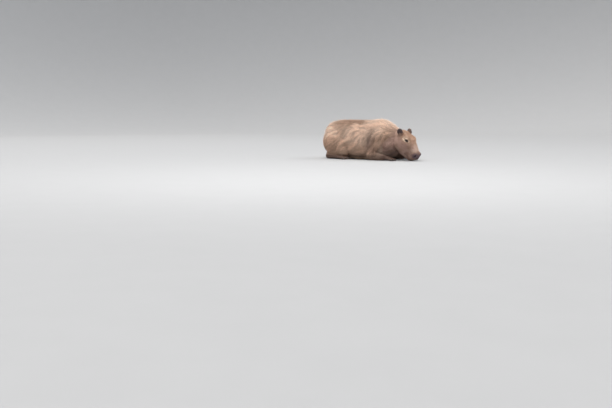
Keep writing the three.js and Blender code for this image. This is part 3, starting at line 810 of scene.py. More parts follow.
class SkinMap:
    """Each skin point's region, lie, hair size and bareness, spread smoothly over the mesh."""

    def __init__(self, obj):
        self.points = points_of(obj)
        self.normals = normals_of(obj)
        links = np.empty(len(obj.data.edges) * 2, np.int32)
        obj.data.edges.foreach_get("vertices", links)
        self.links = links.reshape(-1, 2)
        shares = np.stack([form.nearness(self.points)[0] for form in forms.values()])
        self.owner = shares.argmin(axis=0)
        self.ear = ear_share(self.points)
        self.set_sizes()
        self.set_lie()
        self.bare = self.bare_places()

    def evened(self, values, rounds):
        a, b = self.links.T
        size = len(self.points)
        ends = np.concatenate([a, b])
        others = np.concatenate([b, a])
        count = np.maximum(np.bincount(ends, minlength=size), 1)
        for _ in range(rounds):
            sums = [np.bincount(ends, weights=column[others], minlength=size) for column in values.T]
            values = 0.4 * values + 0.6 * np.stack(sums, axis=1) / count[:, None]
        return values

    def set_sizes(self):
        size = np.array([HAIR[region_of(name)] for name in FLESH], float)[self.owner]
        x, _, z = (self.points - SHIFT).T
        trunk = self.owner == FLESH.index("trunk")
        nape = smoothstep(x, 60, 150) * smoothstep(z, 230, 290) * trunk
        rump = smoothstep(-x, 340, 440) * trunk
        belly = fading(z, 20, 70) * trunk
        neck = np.maximum(neck_share(self.points), smoothstep(x, 170, 285) * (1 - 0.35 * nape)) * trunk
        longer = (1 + 0.35 * nape + 0.2 * rump - 0.4 * belly) * (1 - 0.6 * neck)
        higher = (1 + 0.25 * nape + 0.1 * rump - 0.5 * belly) * (1 - 0.62 * neck)
        rescale(size, longer, 1 - 0.4 * neck, higher, 1 + 0.8 * neck)
        crest = smoothstep(x, 90, 160) * fading(x, 225, 268) * smoothstep(z, 222, 262)
        wild = 0.02 + 0.08 * nape + 0.26 * crest + 0.11 * rump * smoothstep(z, 180, 270)
        size = np.concatenate([size, (wild * trunk)[:, None]], axis=1)
        ahead = in_head(self.points)[:, 0]
        head = self.owner == FLESH.index("skull")
        back = fading(ahead, -10, 80) * head
        muzzle = smoothstep(ahead, 150, 230) * (head | (self.owner == FLESH.index("jaw")))
        changes = [(0.8, 0.45), (0.45, 0.15), (0.9, 0.4)]
        rescale(size, *[1 + more * back - less * muzzle for more, less in changes])
        size = self.evened(size, 24)
        for side in SIDES.values():
            base = np.array(ear_frame(side) @ Vector((6, 0, 8)))
            by_ear = fading(distance(self.points, base), 24, 42) * ~self.ear
            by_eye = fading(distance(self.points, eye_frame(side).translation), 18, 34)
            changes = [(-0.66, -0.6), (-0.3, -0.35), (-0.5, -0.6), (0.9, 1.6)]
            rescale(size, *[(1 + at_ear * by_ear) * (1 + at_eye * by_eye) for at_ear, at_eye in changes])
        room = np.maximum(foot_share(self.points) - 1.2, 0)
        for column, (least, growth) in enumerate([(8, 34), (1.2, 3), (1.1, 8)]):
            size[:, column] = np.minimum(size[:, column], least + growth * room)
        size[self.ear] = (*HAIR["ear"], 0)
        self.size = self.evened(size, 3)

    def set_lie(self):
        n = self.normals
        side_on = np.abs(n[:, 1])
        lie = np.zeros((len(n), 3))
        for i, name in enumerate(FLESH):
            mine = self.owner == i
            region = region_of(name)
            if region == "trunk":
                behind = smoothstep(-n[:, 0], 0.2, 0.9)
                neck = neck_share(self.points)
                down = -0.1 - (0.75 - 0.5 * neck) * side_on - 0.9 * behind
                flow = np.stack([-1 + 0.7 * behind, 0 * side_on, down], axis=1)
            elif region == "thigh":
                flow = np.tile((-0.8, 0, -0.6), (len(n), 1))
            elif region == "upper_arm":
                flow = np.tile(aimed(forms[name].matrix, 1, 0, 0), (len(n), 1))
                flow[:, 0] -= 0.35
            elif region in ("skull", "jaw"):
                flow = aimed(HEAD_FRAME, -1, 0, 0) + np.array([0, 0, -0.3]) * side_on[:, None]
            else:
                flow = np.tile(aimed(forms[name].matrix, 1, 0, 0), (len(n), 1))
                flow[:, 2] -= {"shank": 0.9, "hind_foot": 0.4}.get(region, 0)
            lie[mine] = flow[mine]
        for side in SIDES.values():
            lie[self.ear & (self.points[:, 1] * side > 0)] = aimed(ear_frame(side), 0, 0, 1)
        lie = self.evened(lie, 20)
        self.lie = unit(lie - (lie * n).sum(axis=1, keepdims=True) * n)

    def bare_places(self):
        """1 where no hair grows: the nose, the lips' edges, the lids' rims, the ear's hollow, the soles."""
        ahead, across, up = in_head(self.points).T
        nose = smoothstep(ahead, 244, 250) * within(across, 0, 22, 30)
        nose *= smoothstep(up, -84, -74)
        lips = within(up, np.interp(ahead, MOUTH_X, MOUTH_Z), 2, 4.5) * (ahead > MOUTH_X[0] - 4)
        bare = np.maximum(nose, lips * (self.points[:, 2] < 200))
        bare = np.maximum(bare, smoothstep(cleft_share(in_head(self.points), 2.8), 0.25, 0.5))
        for side in SIDES.values():
            bare = np.maximum(bare, fading(lid_reach(self.points, side), 1.08, 1.24))
            from_hole = carried(self.points, nostril_frame(side).inverted()) / np.array([14, 13, 9])
            bare = np.maximum(bare, fading(distance(from_hole), 0.9, 1.15))
            rise = carried(self.points, ear_frame(side).inverted())[:, 2] / EAR_HEIGHT
            facing = self.normals @ aimed(ear_frame(side), 1, 0, 0)
            cup = self.ear & (self.points[:, 1] * side > 0) & (facing > 0.1) & (rise > 0.25)
            bare = np.maximum(bare, 0.9 * cup)
        feet = np.isin(self.owner, [i for i, name in enumerate(FLESH) if "foot" in name])
        sole = smoothstep(-self.normals[:, 2], 0.3, 0.7) * feet
        flat = fading(self.points[:, 2], 1, 2.5)
        return np.clip(np.maximum.reduce([bare, sole, flat]), 0, 1)


def srgb(r, g, b):
    """A colour given on the 0 to 255 scale, as linear light."""
    c = np.array([r, g, b]) / 255
    return np.where(c <= 0.04045, c / 12.92, ((c + 0.055) / 1.055) ** 2.4)


SAND = srgb(214, 183, 160)
PALE = srgb(236, 211, 191)
UMBER = srgb(158, 127, 107)
CHESTNUT = srgb(172, 134, 110)
SMOKE = srgb(134, 112, 104)
MUZZLE_BROWN = srgb(134, 104, 94)
BELLY_BUFF = srgb(190, 160, 132)
FOOT_BROWN = srgb(104, 80, 68)
BARE_DARK = srgb(66, 52, 52)
NOSE_MAUVE = srgb(100, 80, 86)
CHEEK_ROSE = srgb(184, 151, 137)
OCHRE = srgb(176, 140, 116)
EYE_RING = srgb(242, 218, 195)
EAR_DARK = srgb(64, 52, 50)
EAR_BACK = srgb(110, 91, 83)
EAR_RIM_LIGHT = srgb(206, 180, 160)
RIM_LIGHT_SHARE = {"left": 0.8, "right": 0.25}
NOSTRIL_SHADE = srgb(26, 18, 20)
HORN = srgb(70, 56, 50)
BRISTLE = srgb(104, 84, 72)


def clouds(points, size, offset):
    """Soft noise about 0, with patches of a given size."""
    return 2 * np.array([noise.noise(place) for place in (points / size + offset).tolist()])


def nose_share(local):
    """1 on the dark skin round the nostrils, 0 where the muzzle's hair is brown, by head places."""
    near = np.zeros(len(local))
    for side in SIDES.values():
        hole = np.array([NOSTRIL["x"] - 4, NOSTRIL["y"] * side, NOSTRIL["z"] - 3])
        near = np.maximum(near, fading(distance((local - hole) / np.array([20, 18, 24])), 0.7, 1.25))
    ahead, _, up = local.T
    between = smoothstep(ahead, 240, 249) * fading(up, -54, -44) * smoothstep(up, -92, -76)
    return np.maximum(near, 0.9 * between)


BROW = [(94, 50, 9), (112, 48, 9), (134, 40, 0), (158, 32, -13)]
BROW_HIGHLIGHT_SHARE = {"left": 0.8, "right": 0.15}
LIP_PATCH = (200, 48, -94)


def layered(colour, layers):
    """A colour with others laid over it in turn, each by its share at every point."""
    for other, share in layers:
        colour = colour + (other - colour) * np.clip(share, 0, 1)[:, None]
    return colour


def body_layers(points):
    x, y, z = (points - SHIFT).T
    # Painted light: top marks the upper body, which is painted paler as if lit from above
    top = smoothstep(z, 150, 300)
    # Painted shade: low marks the lower body, which is painted darker towards the floor
    low = fading(z, 50, 170)
    haunch_highlight = within(z, 238, 25, 70) * within(x, -340, 60, 120)
    valley_shade = np.exp(-(((x - 84 - 0.25 * (z - 180)) / 34) ** 2) - ((z - 160) / 84) ** 2)
    return [
        # Painted light: the shoulder's top, the nape, the rump's top and the upper flank are made paler
        (PALE, 0.4 * top * within(x, 110, 50, 130)),
        (PALE, 0.5 * smoothstep(z, 222, 262) * within(x, 200, 30, 70)),
        (PALE, 0.5 * top * smoothstep(-x, 290, 420)),
        (PALE, 0.45 * within(z, 220, 30, 90) * within(x, -60, 90, 160)),
        (UMBER, 0.85 * smoothstep(z, 276, 318) * within(x, -165, 90, 235)),
        (UMBER, 0.3 * smoothstep(x, 150, 230)),
        # Painted highlight on the top of the haunch
        (PALE, 0.7 * haunch_highlight),
        # Painted shade: a darker band low on the haunch, the shoulder's lower part, the chest and the lower
        # flanks and sides
        (CHESTNUT, 0.35 * within(z, 150, 25, 60) * smoothstep(-x, 190, 260)),
        (UMBER, 0.75 * smoothstep(x, 60, 120) * fading(z, 180, 240)),
        (SMOKE, 0.55 * smoothstep(x, 70, 130) * fading(z, 95, 150)),
        (CHESTNUT, 0.5 * low * smoothstep(-x, 150, 330)),
        (UMBER, 0.5 * low * smoothstep(np.abs(y), 90, 150)),
        (BELLY_BUFF, fading(z, 10, 50) * within(y, 0, 80, 130)),
        # Painted shade in the hollow behind the shoulder
        (SMOKE, 0.75 * valley_shade),
        (UMBER, 0.22 * smoothstep(clouds(points * (0.6, 1, 1), 150, 3.1), 0.05, 0.6)),
        (PALE, 0.35 * smoothstep(clouds(points * (0.5, 1, 1), 120, 5.7), 0.1, 0.6)),
    ]


def face_layers(points):
    local = in_head(points)
    hx, hy, hz = local.T
    # Painted shade under the jaw
    under_jaw_shade = fading(hz, -138, -104) * fading(hx, 90, 170) * smoothstep(hx, -6, 50)
    # Painted highlight along the bridge of the nose
    bridge_highlight = smoothstep(hx, 140, 190) * smoothstep(hz, -40, -24) * within(hy, 0, 14, 34)
    layers = [
        (OCHRE, smoothstep(hz, -62, -18) * fading(hx, 130, 200)),
        (SMOKE, 0.15 * under_jaw_shade),
        (MUZZLE_BROWN, smoothstep(hx, 120, 205) * fading(hz, -46, -20)),
        (PALE, 0.26 * bridge_highlight),
        (UMBER, 0.4 * smoothstep(clouds(points, 34, 8.3), 0.05, 0.6)),
        (PALE, 0.14 * smoothstep(clouds(points, 30, 6.1), 0.1, 0.6)),
        (UMBER, 0.45 * bell(hx - 164, 11) * smoothstep(hz, -74, -50)),
        (PALE, 0.35 * bell(hx - 208, 16) * smoothstep(hz, -56, -38)),
    ]
    for name, side in SIDES.items():
        near_side = local * (1, side, 1)
        # Painted highlight: a pale line along each brow, strong on the left and faint on the right
        layers.append((PALE, BROW_HIGHLIGHT_SHARE[name] * bell(line_distance(near_side, BROW), 8)))
        layers.append((OCHRE, 0.3 * bell(distance(near_side, LIP_PATCH), 20)))
    # Painted shade along the underside of the lower jaw
    layers.append((BARE_DARK, 0.25 * fading(hz, -158, -138) * smoothstep(hx, 20, 80)))
    layers.append((NOSE_MAUVE, nose_share(local)))
    broken = 0.55 + 0.6 * clouds(points, 13, 4.2)
    for side in SIDES.values():
        reach = lid_reach(points, side)
        layers.append((EYE_RING, broken * fading(reach, 2.0, 2.9)))
        layers.append((BARE_DARK, 0.9 * fading(reach, 1.12, 1.3)))
        ear_base = ear_frame(side) @ Vector((2, 0, 6))
        layers.append((EAR_DARK * 1.5, 0.35 * fading(distance(points, ear_base), 14, 30)))
    return layers


def ear_colours(points, side_name):
    local = carried(points, ear_frame(SIDES[side_name]).inverted())
    rise = local[:, 2] / EAR_HEIGHT
    behind = smoothstep(-local[:, 0] - 10 * rise**2, -4, 3)
    rim = smoothstep(np.hypot(local[:, 1], local[:, 2] - EAR_HEIGHT * 0.45), 25, 30)
    colour = EAR_DARK + (EAR_BACK - EAR_DARK) * behind[:, None]
    # Painted rim light: the ear's outer edge is made paler, strongly on the left ear and weakly on the
    # right
    colour += (EAR_RIM_LIGHT - colour) * (rim * RIM_LIGHT_SHARE[side_name])[:, None]
    return colour + (OCHRE * 0.8 - colour) * fading(rise, 0.12, 0.38)[:, None]


def markings(points):
    """The animal's colours by place, with painted light and painted shade laid over them, the same for skin
    and coat.
    """
    at = points - SHIFT
    x, y, z = at.T
    face = layered(np.tile(CHEEK_ROSE, (len(points), 1)), face_layers(points))
    crease_shade_distance = np.minimum(*[line_distance(at * (1, side, 1), NECK_FOLD) for side in SIDES.values()])
    legs = fading(z, 30, 62) * smoothstep(np.abs(y), 104, 128) * fading(x, 280, 300)
    fore = smoothstep(x, 160, 240) * fading(z, 36, 52) * smoothstep(np.abs(y), 80, 92)
    hind = smoothstep(-x, 130, 160) * fading(z, 30, 40) * smoothstep(np.abs(y), 148, 160)
    last = [
        (face, np.maximum(smoothstep(x, 222, 286), neck_share(points))),
        # Painted shade along the fold in front of the shoulder
        (UMBER * 0.55, 0.5 * bell(crease_shade_distance, 9) * fading(z, 190, 226)),
        (FOOT_BROWN, 0.75 * legs),
        (FOOT_BROWN, np.maximum(fore, hind)),
    ]
    colour = layered(np.tile(SAND, (len(points), 1)), body_layers(points) + last)
    for side_name, side in SIDES.items():
        mine = ear_share(points) & (y * side > 0)
        colour[mine] = ear_colours(points, side_name)[mine]
    return colour


def skin_colours(skin_map):
    local = in_head(skin_map.points)
    covered = markings(skin_map.points) * 0.7
    naked = BARE_DARK + (NOSE_MAUVE - BARE_DARK) * smoothstep(local[:, 0], 200, 250)[:, None]
    colour = covered + (naked - covered) * skin_map.bare[:, None]
    # Painted shade: the groove under the nose and the nostrils' insides are darkened towards black
    hollow = 0.8 * smoothstep(cleft_share(local, 1.7), 0.2, 0.8)
    for side in SIDES.values():
        from_hole = carried(skin_map.points, nostril_frame(side).inverted()) / np.array(NOSTRIL["size"])
        hollow = np.maximum(hollow, fading(distance(from_hole), 0.95, 1.12))
    return colour + (NOSTRIL_SHADE - colour) * hollow[:, None]


def colour_attribute(mesh, name, colours):
    made = mesh.attributes.new(name, "FLOAT_COLOR", "POINT")
    rgba = np.ones((len(colours), 4), np.float32)
    rgba[:, :3] = colours
    made.data.foreach_set("color", rgba.ravel())


def value_attribute(mesh, name, values):
    made = mesh.attributes.new(name, "FLOAT", "POINT")
    made.data.foreach_set("value", values.astype(np.float32))


# Coat: solid tapered tufts, rooted in the skin and laid along it
SUNK = 1.4  # how deep a root sits in the skin
WILD_RISE = 27  # the most that a stray hair stands up
PATCH = 0.003  # size of one tuft on the map for baking
PIECE_LIMIT = 196000  # triangles
TUFT_THICKNESS = 0.3  # as a share of the width
FLOOR_CLEARANCE = 0.3


def grown(skin_map, obj, regions, count):
    """Roots spread evenly over the hair-bearing skin of some regions, with what the skin says there."""
    mesh = obj.data
    mesh.calc_loop_triangles()
    corners = np.empty(len(mesh.loop_triangles) * 3, np.int32)
    mesh.loop_triangles.foreach_get("vertices", corners)
    corners = corners.reshape(-1, 3)
    here = np.isin(skin_map.owner, [i for i, name in enumerate(FLESH) if region_of(name) in regions])
    a, b, c = (skin_map.points[corners[:, k]] for k in range(3))
    area = np.linalg.norm(np.cross(b - a, c - a), axis=1) / 2
    dense = skin_map.size[:, 3] * (1 - skin_map.bare) * here
    chance = area * dense[corners].mean(axis=1)
    total = np.cumsum(chance)
    marks = (np.arange(count) + rng.uniform(size=count)) / count * total[-1]
    face = np.searchsorted(total, marks)
    u, v = rng.uniform(size=(2, count))
    over = u + v > 1
    u[over], v[over] = 1 - u[over], 1 - v[over]
    weight = np.stack([1 - u - v, u, v], axis=1)

    def at(values):
        return (values[corners[face]] * weight[:, :, None]).sum(axis=1)

    return {
        "root": at(skin_map.points),
        "normal": unit(at(skin_map.normals)),
        "lie": unit(at(skin_map.lie)),
        "size": at(skin_map.size),
        "owner": skin_map.owner[corners[face, 0]],
    }


def dropped_on(tree, points, normals):
    """Nearest place on the skin to each point, with the skin's direction there."""
    place = np.empty_like(points)
    out = np.empty_like(points)
    for i, point in enumerate(points * MM):
        hit, normal, _, _ = tree.find_nearest(point)
        place[i] = hit
        out[i] = normal
    return place / MM, unit(out + 0.5 * normals)


def tree_of(points):
    tree = KDTree(len(points))
    for i, place in enumerate(points):
        tree.insert(place, i)
    tree.balance()
    return tree


def streaks(hair, size, step, doublings, offset):
    """Noise drawn out along the lie of the hair, with an even spread about 0."""
    tree = tree_of(hair["root"])
    ahead = np.array([tree.find(place)[1] for place in hair["root"] + hair["lie"] * step])
    tone = clouds(hair["root"], size, offset)
    for _ in range(doublings):
        tone = (tone + tone[ahead]) / 2
        ahead = ahead[ahead]
    return (tone - tone.mean()) / tone.std()


def leaders_of(hair, size):
    """For each tuft the one it leans towards: near it across the lie, further along it."""
    root, lie = hair["root"], hair["lie"]
    some = rng.permutation(len(root))[: len(root) // size]
    tree = tree_of(root[some])
    near = some[np.array([[hit[1] for hit in tree.find_n(place, 6)] for place in root])]
    gap = root[near] - root[:, None]
    along = (gap * lie[:, None]).sum(axis=2)
    score = (gap**2).sum(axis=2) - 0.88 * along**2
    return near[np.arange(len(root)), score.argmin(axis=1)]


def tuft_lines(tree, hair, steps, clump, pull, stray):
    """Centre lines from root to tip, with the skin's direction along them and each tuft's tone."""
    count = len(hair["root"])
    root, normal = hair["root"], hair["normal"]
    length = hair["size"][:, 0] * rng.uniform(0.72, 1.22, count)
    height = hair["size"][:, 2] * rng.uniform(0.5, 1.05, count)
    wild = rng.uniform(size=count) < hair["size"][:, 4]
    stray = stray * (1 + 1.6 * wild)
    length[wild] *= 1.3
    side = np.cross(hair["lie"], normal)
    angle = math.radians(24) * clouds(root, 80, 11.3) + np.radians(stray) * rng.normal(size=count)
    lie = unit(hair["lie"] * np.cos(angle)[:, None] + side * np.sin(angle)[:, None])
    hair["lie"] = lie
    bend = 0.22 * clouds(root, 50, 17.9) + 0.1 * rng.normal(size=count)
    tone = 0.4 * rng.normal(size=count)
    if clump:
        fine = streaks(hair, 16, 14, 3, 2.3)
        broad = streaks(hair, 70, 20, 4, 9.1)
        tone += 2.4 * np.tanh((1.0 * fine + 0.24 * broad) / 2.4)
        height *= 1 + 0.3 * np.tanh(0.5 * fine + 0.2 * broad)
        height[wild] = np.clip(height[wild] * 1.9, 0, WILD_RISE)
        pull = pull * ~wild[:, None]
        mine = leaders_of(hair, clump)
    lines, outs = [], []
    for t in steps:
        along = root + lie * (length * t)[:, None] + side * (bend * length * t * t)[:, None]
        if clump:
            towards_leader = root[mine] - root
            towards_leader -= 0.8 * lie * (towards_leader * lie).sum(axis=1, keepdims=True)
            along += towards_leader * (pull * t**1.2)
        place, out = (root, normal) if t == 0 else dropped_on(tree, along, normal)
        rise = height * (1 - (1 - t) ** 1.7) - SUNK * (1 - t) ** 2
        lines.append(place + out * rise[:, None])
        outs.append(out)
    return np.stack(lines, axis=1), np.stack(outs, axis=1), tone


def tuft_piece(name, lines, outs, widths, taper, hair, tone, spots):
    """One closed mesh of three-sided tufts along their lines, with the unwrapped map that baking uses."""
    count, rings = lines.shape[:2]
    ahead = np.gradient(lines, axis=1)
    side = unit(np.cross(ahead.reshape(-1, 3), outs.reshape(-1, 3))).reshape(lines.shape)
    half = (widths[:, None] * np.array(taper) / 2)[:, :, None]
    ridge = lines + outs * half * TUFT_THICKNESS * 2
    ring_points = np.stack([lines - side * half, ridge, lines + side * half], axis=2)
    each = 3 * (rings - 1) + 1
    points = np.concatenate([ring_points[:, :-1].reshape(count, -1, 3), lines[:, -1:]], axis=1)
    points = points.reshape(-1, 3)
    points[:, 2] = np.maximum(points[:, 2], FLOOR_CLEARANCE)
    faces = [(2, 1, 0)]
    for r in range(rings - 2):
        for c in range(3):
            a, b = 3 * r + c, 3 * r + (c + 1) % 3
            faces += [(a, b, b + 3), (a, b + 3, a + 3)]
    last = 3 * (rings - 2)
    faces += [(last + c, last + (c + 1) % 3, each - 1) for c in range(3)]
    faces = np.array(faces)
    corners = (faces[None] + each * np.arange(count)[:, None, None]).ravel()
    mesh = bpy.data.meshes.new(name)
    mesh.vertices.add(len(points))
    mesh.vertices.foreach_set("co", (points * MM).astype(np.float32).ravel())
    mesh.loops.add(len(corners))
    mesh.loops.foreach_set("vertex_index", corners.astype(np.int32))
    mesh.polygons.add(len(corners) // 3)
    mesh.polygons.foreach_set("loop_start", np.arange(0, len(corners), 3, dtype=np.int32))
    mesh.polygons.foreach_set("use_smooth", np.ones(len(corners) // 3, bool))
    mesh.update(calc_edges=True)
    across = np.append(np.tile([0, 0.5, 1], rings - 1), 0.5)
    up = np.append(np.repeat(np.linspace(0, 1, rings)[:-1], 3), 1)
    patch = (np.stack([across, up], axis=1) - 0.5) * PATCH
    places = (spots[:, None] + patch[None]).reshape(-1, 2)
    layer = mesh.uv_layers.new(name="OFBake")
    layer.data.foreach_set("uv", places[corners].astype(np.float32).ravel())
    colour_attribute(mesh, "markings", np.repeat(markings(hair["root"]), each, axis=0))
    value_attribute(mesh, "tone", np.repeat(tone, each))
    value_attribute(mesh, "along", np.tile(up, count))
    obj = bpy.data.objects.new(name, mesh)
    bpy.context.scene.collection.objects.link(obj)
    return obj


def unrolled(hair):
    """Roots on an unwrap of the skin: each form is unrolled round its own axis into its own band."""
    places = np.empty((len(hair["root"]), 2))
    used = [i for i in range(len(FLESH)) if (hair["owner"] == i).any()]
    shares = np.array([(hair["owner"] == i).sum() for i in used], float) ** 0.7
    ends = np.concatenate([[0], np.cumsum(shares / shares.sum())])
    for i, low, high in zip(used, ends, ends[1:]):
        mine = hair["owner"] == i
        form = forms[FLESH[i]]
        _, s, angle = form.nearness(hair["root"][mine])
        margin = PATCH * 1.5
        places[mine, 0] = margin + (1 - 2 * margin) * (angle / (2 * math.pi) % 1)
        places[mine, 1] = low + margin + (high - low - 2 * margin) * s / form.last
    return places


def picked(hair, mask):
    return {name: values[mask] for name, values in hair.items()}


def grow_coat(name, regions, count, shape, size=(1, 1, 1), clump=0, pull=0.0, stray=7):
    """One layer of tufts over some regions, shared evenly between pieces that keep to the limit."""
    steps, taper = shape
    hair = grown(skin_map, skin, regions, count)
    hair["size"][:, :3] *= size
    lines, outs, tone = tuft_lines(skin_tree, hair, steps, clump, pull, stray)
    places = unrolled(hair)
    triangles = 6 * (len(steps) - 2) + 4
    pieces = math.ceil(count * triangles / PIECE_LIMIT)
    turn = rng.permutation(count)
    made = []
    for k in range(pieces):
        mine = np.sort(turn[k::pieces])
        width = hair["size"][mine, 1] * rng.uniform(0.75, 1.25, len(mine))
        label = name if pieces == 1 else f"{name}_{k + 1}"
        some = picked(hair, mine)
        piece = tuft_piece(label, lines[mine], outs[mine], width, taper, some, tone[mine], places[mine])
        made.append(piece)
    return made


skin_map = SkinMap(skin)
skin_tree = BVHTree.FromObject(skin, bpy.context.evaluated_depsgraph_get())
colour_attribute(skin.data, "markings", skin_colours(skin_map))

# A tuft's steps from root to tip, and its width at each
LONG_TUFT = ((0, 0.3, 0.65, 1), (0.75, 1.0, 0.62, 0))
SHORT_TUFT = ((0, 0.5, 1), (0.8, 0.85, 0))
BODY = ("trunk", "upper_arm", "thigh")
HEAD = ("skull", "jaw")
LOW_LEGS = ("forearm", "shank", "fore_foot", "hind_foot")
UNDER_SIZE = (0.9, 1.05, 0.72)
GUARD_SIZE = (1.25, 0.62, 1.0)
under_coat = grow_coat("under_coat", BODY, 39000, SHORT_TUFT, UNDER_SIZE, clump=12, pull=0.35, stray=8)
guard_coat = grow_coat("guard_coat", BODY, 36000, LONG_TUFT, GUARD_SIZE, clump=12, pull=0.45, stray=10)
head_coat = grow_coat("head_coat", HEAD, 39200, SHORT_TUFT, stray=7)
leg_coat = grow_coat("leg_coat", LOW_LEGS, 14000, SHORT_TUFT, stray=8)


# Whiskers, eyes and nails
# Rows on the muzzle's side: places in the head's frame, length and how far they point back
WHISKER_PLACES = [
    *[((224 - 13 * i, 50, -74 - 3 * i), 46 + 7 * i, 0.3 + 0.2 * i) for i in range(4)],
    *[((230 - 13 * i, 48, -88 - 2 * i), 42 + 7 * i, 0.2 + 0.2 * i) for i in range(4)],
    *[((222 - 13 * i, 50, -101), 34 + 6 * i, 0.3 + 0.2 * i) for i in range(4)],
    ((98, 46, 10), 34, 0.7),
    ((92, 49, 9), 30, 0.9),
    ((70, 82, -90), 30, 1.2),
]
WHISKER_RADIUS = 0.34


def build_whiskers():
    """Stiff tapered bristles, each swept in a soft arc out of the skin."""
    made = []
    for side in SIDES.values():
        for place, length, back in WHISKER_PLACES:
            spot = np.array([[place[0], place[1] * side, place[2]]]) + rng.normal(size=(1, 3)) * 1.6
            root, out = dropped_on(skin_tree, carried(spot, HEAD_FRAME), np.zeros((1, 3)))
            behind = aimed(HEAD_FRAME, -back, 0, 0)
            ahead = unit(out + behind + 0.12 * rng.normal(size=(1, 3)))[0]
            whisker = ball("whisker", 6, 10)
            at = points_of(whisker) * MM
            t = (at[:, 2] + 1) / 2
            across = unit(np.cross(ahead, (0.0, 0.0, 1.0))[None])[0]
            over = np.cross(across, ahead)
            wide = WHISKER_RADIUS * (1 - 0.8 * t)
            middle = root + ahead * (length * t - 1.5)[:, None]
            middle[:, 2] -= 0.12 * length * t * t
            spread = across * at[:, :1] + over * at[:, 1:2]
            set_points(whisker, middle + spread * wide[:, None])
            made.append(whisker)
    piece = joined(made, "whiskers")
    at = points_of(piece)
    at[:, 2] = np.maximum(at[:, 2], 0.5)
    set_points(piece, at)
    face_outwards(piece)
    bpy.ops.object.shade_smooth()
    return piece


def build_eyes():
    made = {}
    for name, side in SIDES.items():
        eye = ball(f"eyeball_{name}", 48, 32)
        at = points_of(eye) * MM
        front = at[:, 0]
        cornea = 0.09 * smoothstep(front, 0.72, 1.0)
        value_attribute(eye.data, "off_axis", np.degrees(np.arccos(np.clip(front, -1, 1))))
        set_points(eye, carried(at * (1 + cornea)[:, None] * EYE_RADIUS * 0.985, eye_frame(side)))
        only(eye)
        bpy.ops.object.shade_smooth()
        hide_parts(f"eye_{name}")
        made[name] = eye
    return made


def nail_mesh(toe, radius, length):
    """A blunt, hoof-like nail: round above, flat below and narrower towards its tip."""
    nail = ball("nail", 24, 28)
    at = points_of(nail) * MM
    t = (at[:, 2] + 1) / 2
    turn = np.arctan2(at[:, 1], at[:, 0])
    full = np.minimum(1, ((1 - t) * 4.5) ** 0.5) * np.minimum(1, (t * 9) ** 0.5)
    ridge = 1 + 0.025 * np.cos(8 * turn)
    half = radius * (0.94 - 0.46 * t * t) * full * ridge
    top = radius * (0.86 - 0.62 * t * t) * full * ridge
    y = half * np.cos(turn)
    z = np.where(np.sin(turn) > 0, top, radius * 0.5 * full) * np.sin(turn) - radius * 0.34 * t * t
    value_attribute(nail.data, "along", t)
    tip = toe.rows[-1][0]
    set_points(nail, carried(np.stack([tip + length * (t - 0.42), y, z], axis=1), toe.matrix))
    face_outwards(nail)
    at = points_of(nail)
    at[:, 2] = np.maximum(at[:, 2], 0)
    set_points(nail, at)
    bpy.ops.object.shade_smooth_by_angle(angle=CREASE_ANGLE)
    return nail


def build_nails():
    made = []
    for foot, some in toes.items():
        radius, length = (HIND_TOES if foot.startswith("hind") else FORE_TOES)["nail"]
        nails = [nail_mesh(toe, radius, length) for toe in some]
        end, side_name = foot.split("_")
        piece = joined(nails, f"{end}_nails_{side_name}")
        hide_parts(*[f"{end}_nail_{side_name}_{i + 1}" for i in range(len(some))])
        made.append(piece)
    return made


whiskers = build_whiskers()
eyes = build_eyes()
nails = build_nails()


# Materials
def group(name, inputs, outputs):
    tree = bpy.data.node_groups.new(name, "ShaderNodeTree")
    for label, kind, value in inputs:
        socket = tree.interface.new_socket(label, in_out="INPUT", socket_type=kind)
        if value is not None:
            socket.default_value = value
    for label, kind in outputs:
        tree.interface.new_socket(label, in_out="OUTPUT", socket_type=kind)
    return tree, tree.nodes.new("NodeGroupInput"), tree.nodes.new("NodeGroupOutput")


def math_node(tree, operation, first, second=None):
    node = tree.nodes.new("ShaderNodeMath")
    node.operation = operation
    for socket, value in zip(node.inputs, (first, second)):
        if isinstance(value, (int, float)):
            socket.default_value = value
        elif value is not None:
            tree.links.new(value, socket)
    return node.outputs[0]


def noise_node(tree, vector, scale, detail=3.0, roughness=0.55):
    node = tree.nodes.new("ShaderNodeTexNoise")
    node.inputs["Scale"].default_value = scale
    node.inputs["Detail"].default_value = detail
    node.inputs["Roughness"].default_value = roughness
    tree.links.new(vector, node.inputs["Vector"])
    return node.outputs["Fac"]


def shaded_group():
    """A colour made lighter or darker by a value around 0."""
    tree, start, end = group(
        "shaded colour",
        [("Colour", "NodeSocketColor", (0.5, 0.5, 0.5, 1)), ("Shade", "NodeSocketFloat", 0.0)],
        [("Colour", "NodeSocketColor")],
    )
    factor = math_node(tree, "POWER", 1.6, start.outputs["Shade"])
    scale = tree.nodes.new("ShaderNodeVectorMath")
    scale.operation = "SCALE"
    tree.links.new(start.outputs["Colour"], scale.inputs[0])
    tree.links.new(factor, scale.inputs["Scale"])
    tree.links.new(scale.outputs[0], end.inputs["Colour"])
    return tree


SHADED = shaded_group()


def new_material(name, **settings):
    material = bpy.data.materials.new(name)
    material.use_nodes = True
    tree = material.node_tree
    shader = tree.nodes["Principled BSDF"]
    for label, value in settings.items():
        shader.inputs[label.replace("_", " ")].default_value = value
    return material, tree, shader


def attribute_node(tree, name, output):
    node = tree.nodes.new("ShaderNodeAttribute")
    node.attribute_name = name
    return node.outputs[output]


def shaded_colour(tree, colour, shade):
    node = tree.nodes.new("ShaderNodeGroup")
    node.node_tree = SHADED
    if isinstance(colour, tuple):
        node.inputs["Colour"].default_value = colour
    else:
        tree.links.new(colour, node.inputs["Colour"])
    tree.links.new(shade, node.inputs["Shade"])
    return node.outputs["Colour"]


def object_place(tree):
    return tree.nodes.new("ShaderNodeTexCoord").outputs["Object"]


